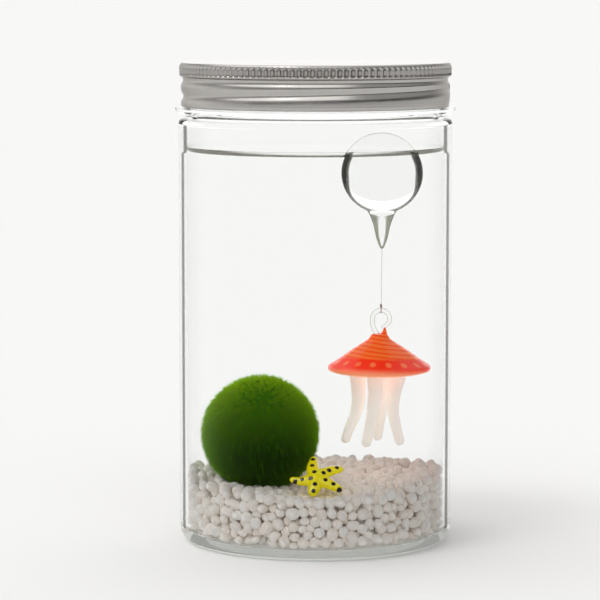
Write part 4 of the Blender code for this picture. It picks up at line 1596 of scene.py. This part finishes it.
def make_camera():
    """The photograph's view: from just above the lid, looking slightly down."""
    camera = bpy.data.cameras.new("camera")
    camera.lens = LENS
    camera.sensor_width = SENSOR
    camera.clip_end = 2.5 * FLOOR_REACH
    piece = bpy.data.objects.new("camera", camera)
    piece.location = CAMERA_PLACE
    piece.rotation_euler = (CAMERA_TILT, 0.0, 0.0)
    bpy.context.scene.collection.objects.link(piece)
    bpy.context.scene.camera = piece


def set_up_render():
    """Plain colours, and enough bounces for light to pass all the glass."""
    scene = bpy.context.scene
    scene.view_settings.view_transform = "Standard"
    cycles = scene.cycles
    cycles.max_bounces = 32
    cycles.transmission_bounces = 28
    cycles.glossy_bounces = 8
    cycles.diffuse_bounces = 8
    cycles.transparent_max_bounces = 16
    cycles.use_denoising = True


# Operators


class MARIMO_OT_stage(bpy.types.Operator):
    """Make the camera, the pale floor and the soft light"""

    bl_idname = "marimo.make_stage"
    bl_label = "Stage"

    def execute(self, context):
        make_camera()
        make_floor(context.scene.marimo_stage)
        make_light(context.scene.marimo_stage)
        set_up_render()
        return {"FINISHED"}


class MARIMO_OT_jar(bpy.types.Operator):
    """Make the glass jar"""

    bl_idname = "marimo.make_jar"
    bl_label = "Glass jar"

    def execute(self, context):
        make_jar(context.scene.marimo_jar)
        return {"FINISHED"}


class MARIMO_OT_lid(bpy.types.Operator):
    """Make the screw lid and its liner"""

    bl_idname = "marimo.make_lid"
    bl_label = "Screw lid and liner"

    def execute(self, context):
        make_lid(context.scene.marimo_lid)
        make_liner()
        return {"FINISHED"}


class MARIMO_OT_water(bpy.types.Operator):
    """Make the water in the jar"""

    bl_idname = "marimo.make_water"
    bl_label = "Water"

    def execute(self, context):
        make_water(context.scene.marimo_jar, context.scene.marimo_water)
        return {"FINISHED"}


class MARIMO_OT_gravel(bpy.types.Operator):
    """Make the bed of gravel"""

    bl_idname = "marimo.make_gravel"
    bl_label = "Gravel"

    def execute(self, context):
        make_gravel(context.scene.marimo_jar, context.scene.marimo_gravel)
        return {"FINISHED"}


class MARIMO_OT_moss_ball(bpy.types.Operator):
    """Make the moss ball and its threads"""

    bl_idname = "marimo.make_moss_ball"
    bl_label = "Moss ball"

    def execute(self, context):
        make_moss_ball(context.scene.marimo_moss)
        return {"FINISHED"}


class MARIMO_OT_starfish(bpy.types.Operator):
    """Make the glass starfish"""

    bl_idname = "marimo.make_starfish"
    bl_label = "Starfish"

    def execute(self, context):
        make_starfish(context.scene.marimo_ornaments)
        return {"FINISHED"}


class MARIMO_OT_float(bpy.types.Operator):
    """Make the glass float and the line that hangs from it"""

    bl_idname = "marimo.make_float"
    bl_label = "Float and line"

    def execute(self, context):
        make_float()
        make_line()
        return {"FINISHED"}


class MARIMO_OT_jellyfish(bpy.types.Operator):
    """Make the jellyfish: its ring, its bell and its tentacles"""

    bl_idname = "marimo.make_jellyfish"
    bl_label = "Jellyfish"

    def execute(self, context):
        make_eye()
        make_bell(context.scene.marimo_ornaments)
        make_tentacles(context.scene.marimo_ornaments)
        return {"FINISHED"}


STEPS = (
    MARIMO_OT_stage,
    MARIMO_OT_jar,
    MARIMO_OT_lid,
    MARIMO_OT_water,
    MARIMO_OT_gravel,
    MARIMO_OT_moss_ball,
    MARIMO_OT_starfish,
    MARIMO_OT_float,
    MARIMO_OT_jellyfish,
)

SETTINGS = {
    "marimo_stage": StageSettings,
    "marimo_jar": JarSettings,
    "marimo_lid": LidSettings,
    "marimo_water": WaterSettings,
    "marimo_gravel": GravelSettings,
    "marimo_moss": MossSettings,
    "marimo_ornaments": OrnamentSettings,
}


class MARIMO_PT_panel(bpy.types.Panel):
    """Lists the pieces in the order in which they are made, and their settings"""

    bl_idname = "MARIMO_PT_panel"
    bl_label = "Marimo jar"
    bl_space_type = "VIEW_3D"
    bl_region_type = "UI"
    bl_category = "Marimo"

    def draw(self, context):
        for step in STEPS:
            self.layout.operator(step.bl_idname)
        for name in SETTINGS:
            settings = getattr(context.scene, name)
            box = self.layout.box()
            for label in settings.__annotations__:
                box.prop(settings, label)


def register():
    for item in (*SETTINGS.values(), *STEPS, MARIMO_PT_panel):
        bpy.utils.register_class(item)
    for name, group in SETTINGS.items():
        setattr(bpy.types.Scene, name, bpy.props.PointerProperty(type=group))


def unregister():
    for name in SETTINGS:
        delattr(bpy.types.Scene, name)
    for item in reversed((*SETTINGS.values(), *STEPS, MARIMO_PT_panel)):
        bpy.utils.unregister_class(item)


def main():
    register()
    bpy.ops.marimo.make_stage()
    bpy.ops.marimo.make_jar()
    bpy.ops.marimo.make_lid()
    bpy.ops.marimo.make_water()
    bpy.ops.marimo.make_gravel()
    bpy.ops.marimo.make_moss_ball()
    bpy.ops.marimo.make_starfish()
    bpy.ops.marimo.make_float()
    bpy.ops.marimo.make_jellyfish()


if __name__ == "__main__":
    main()
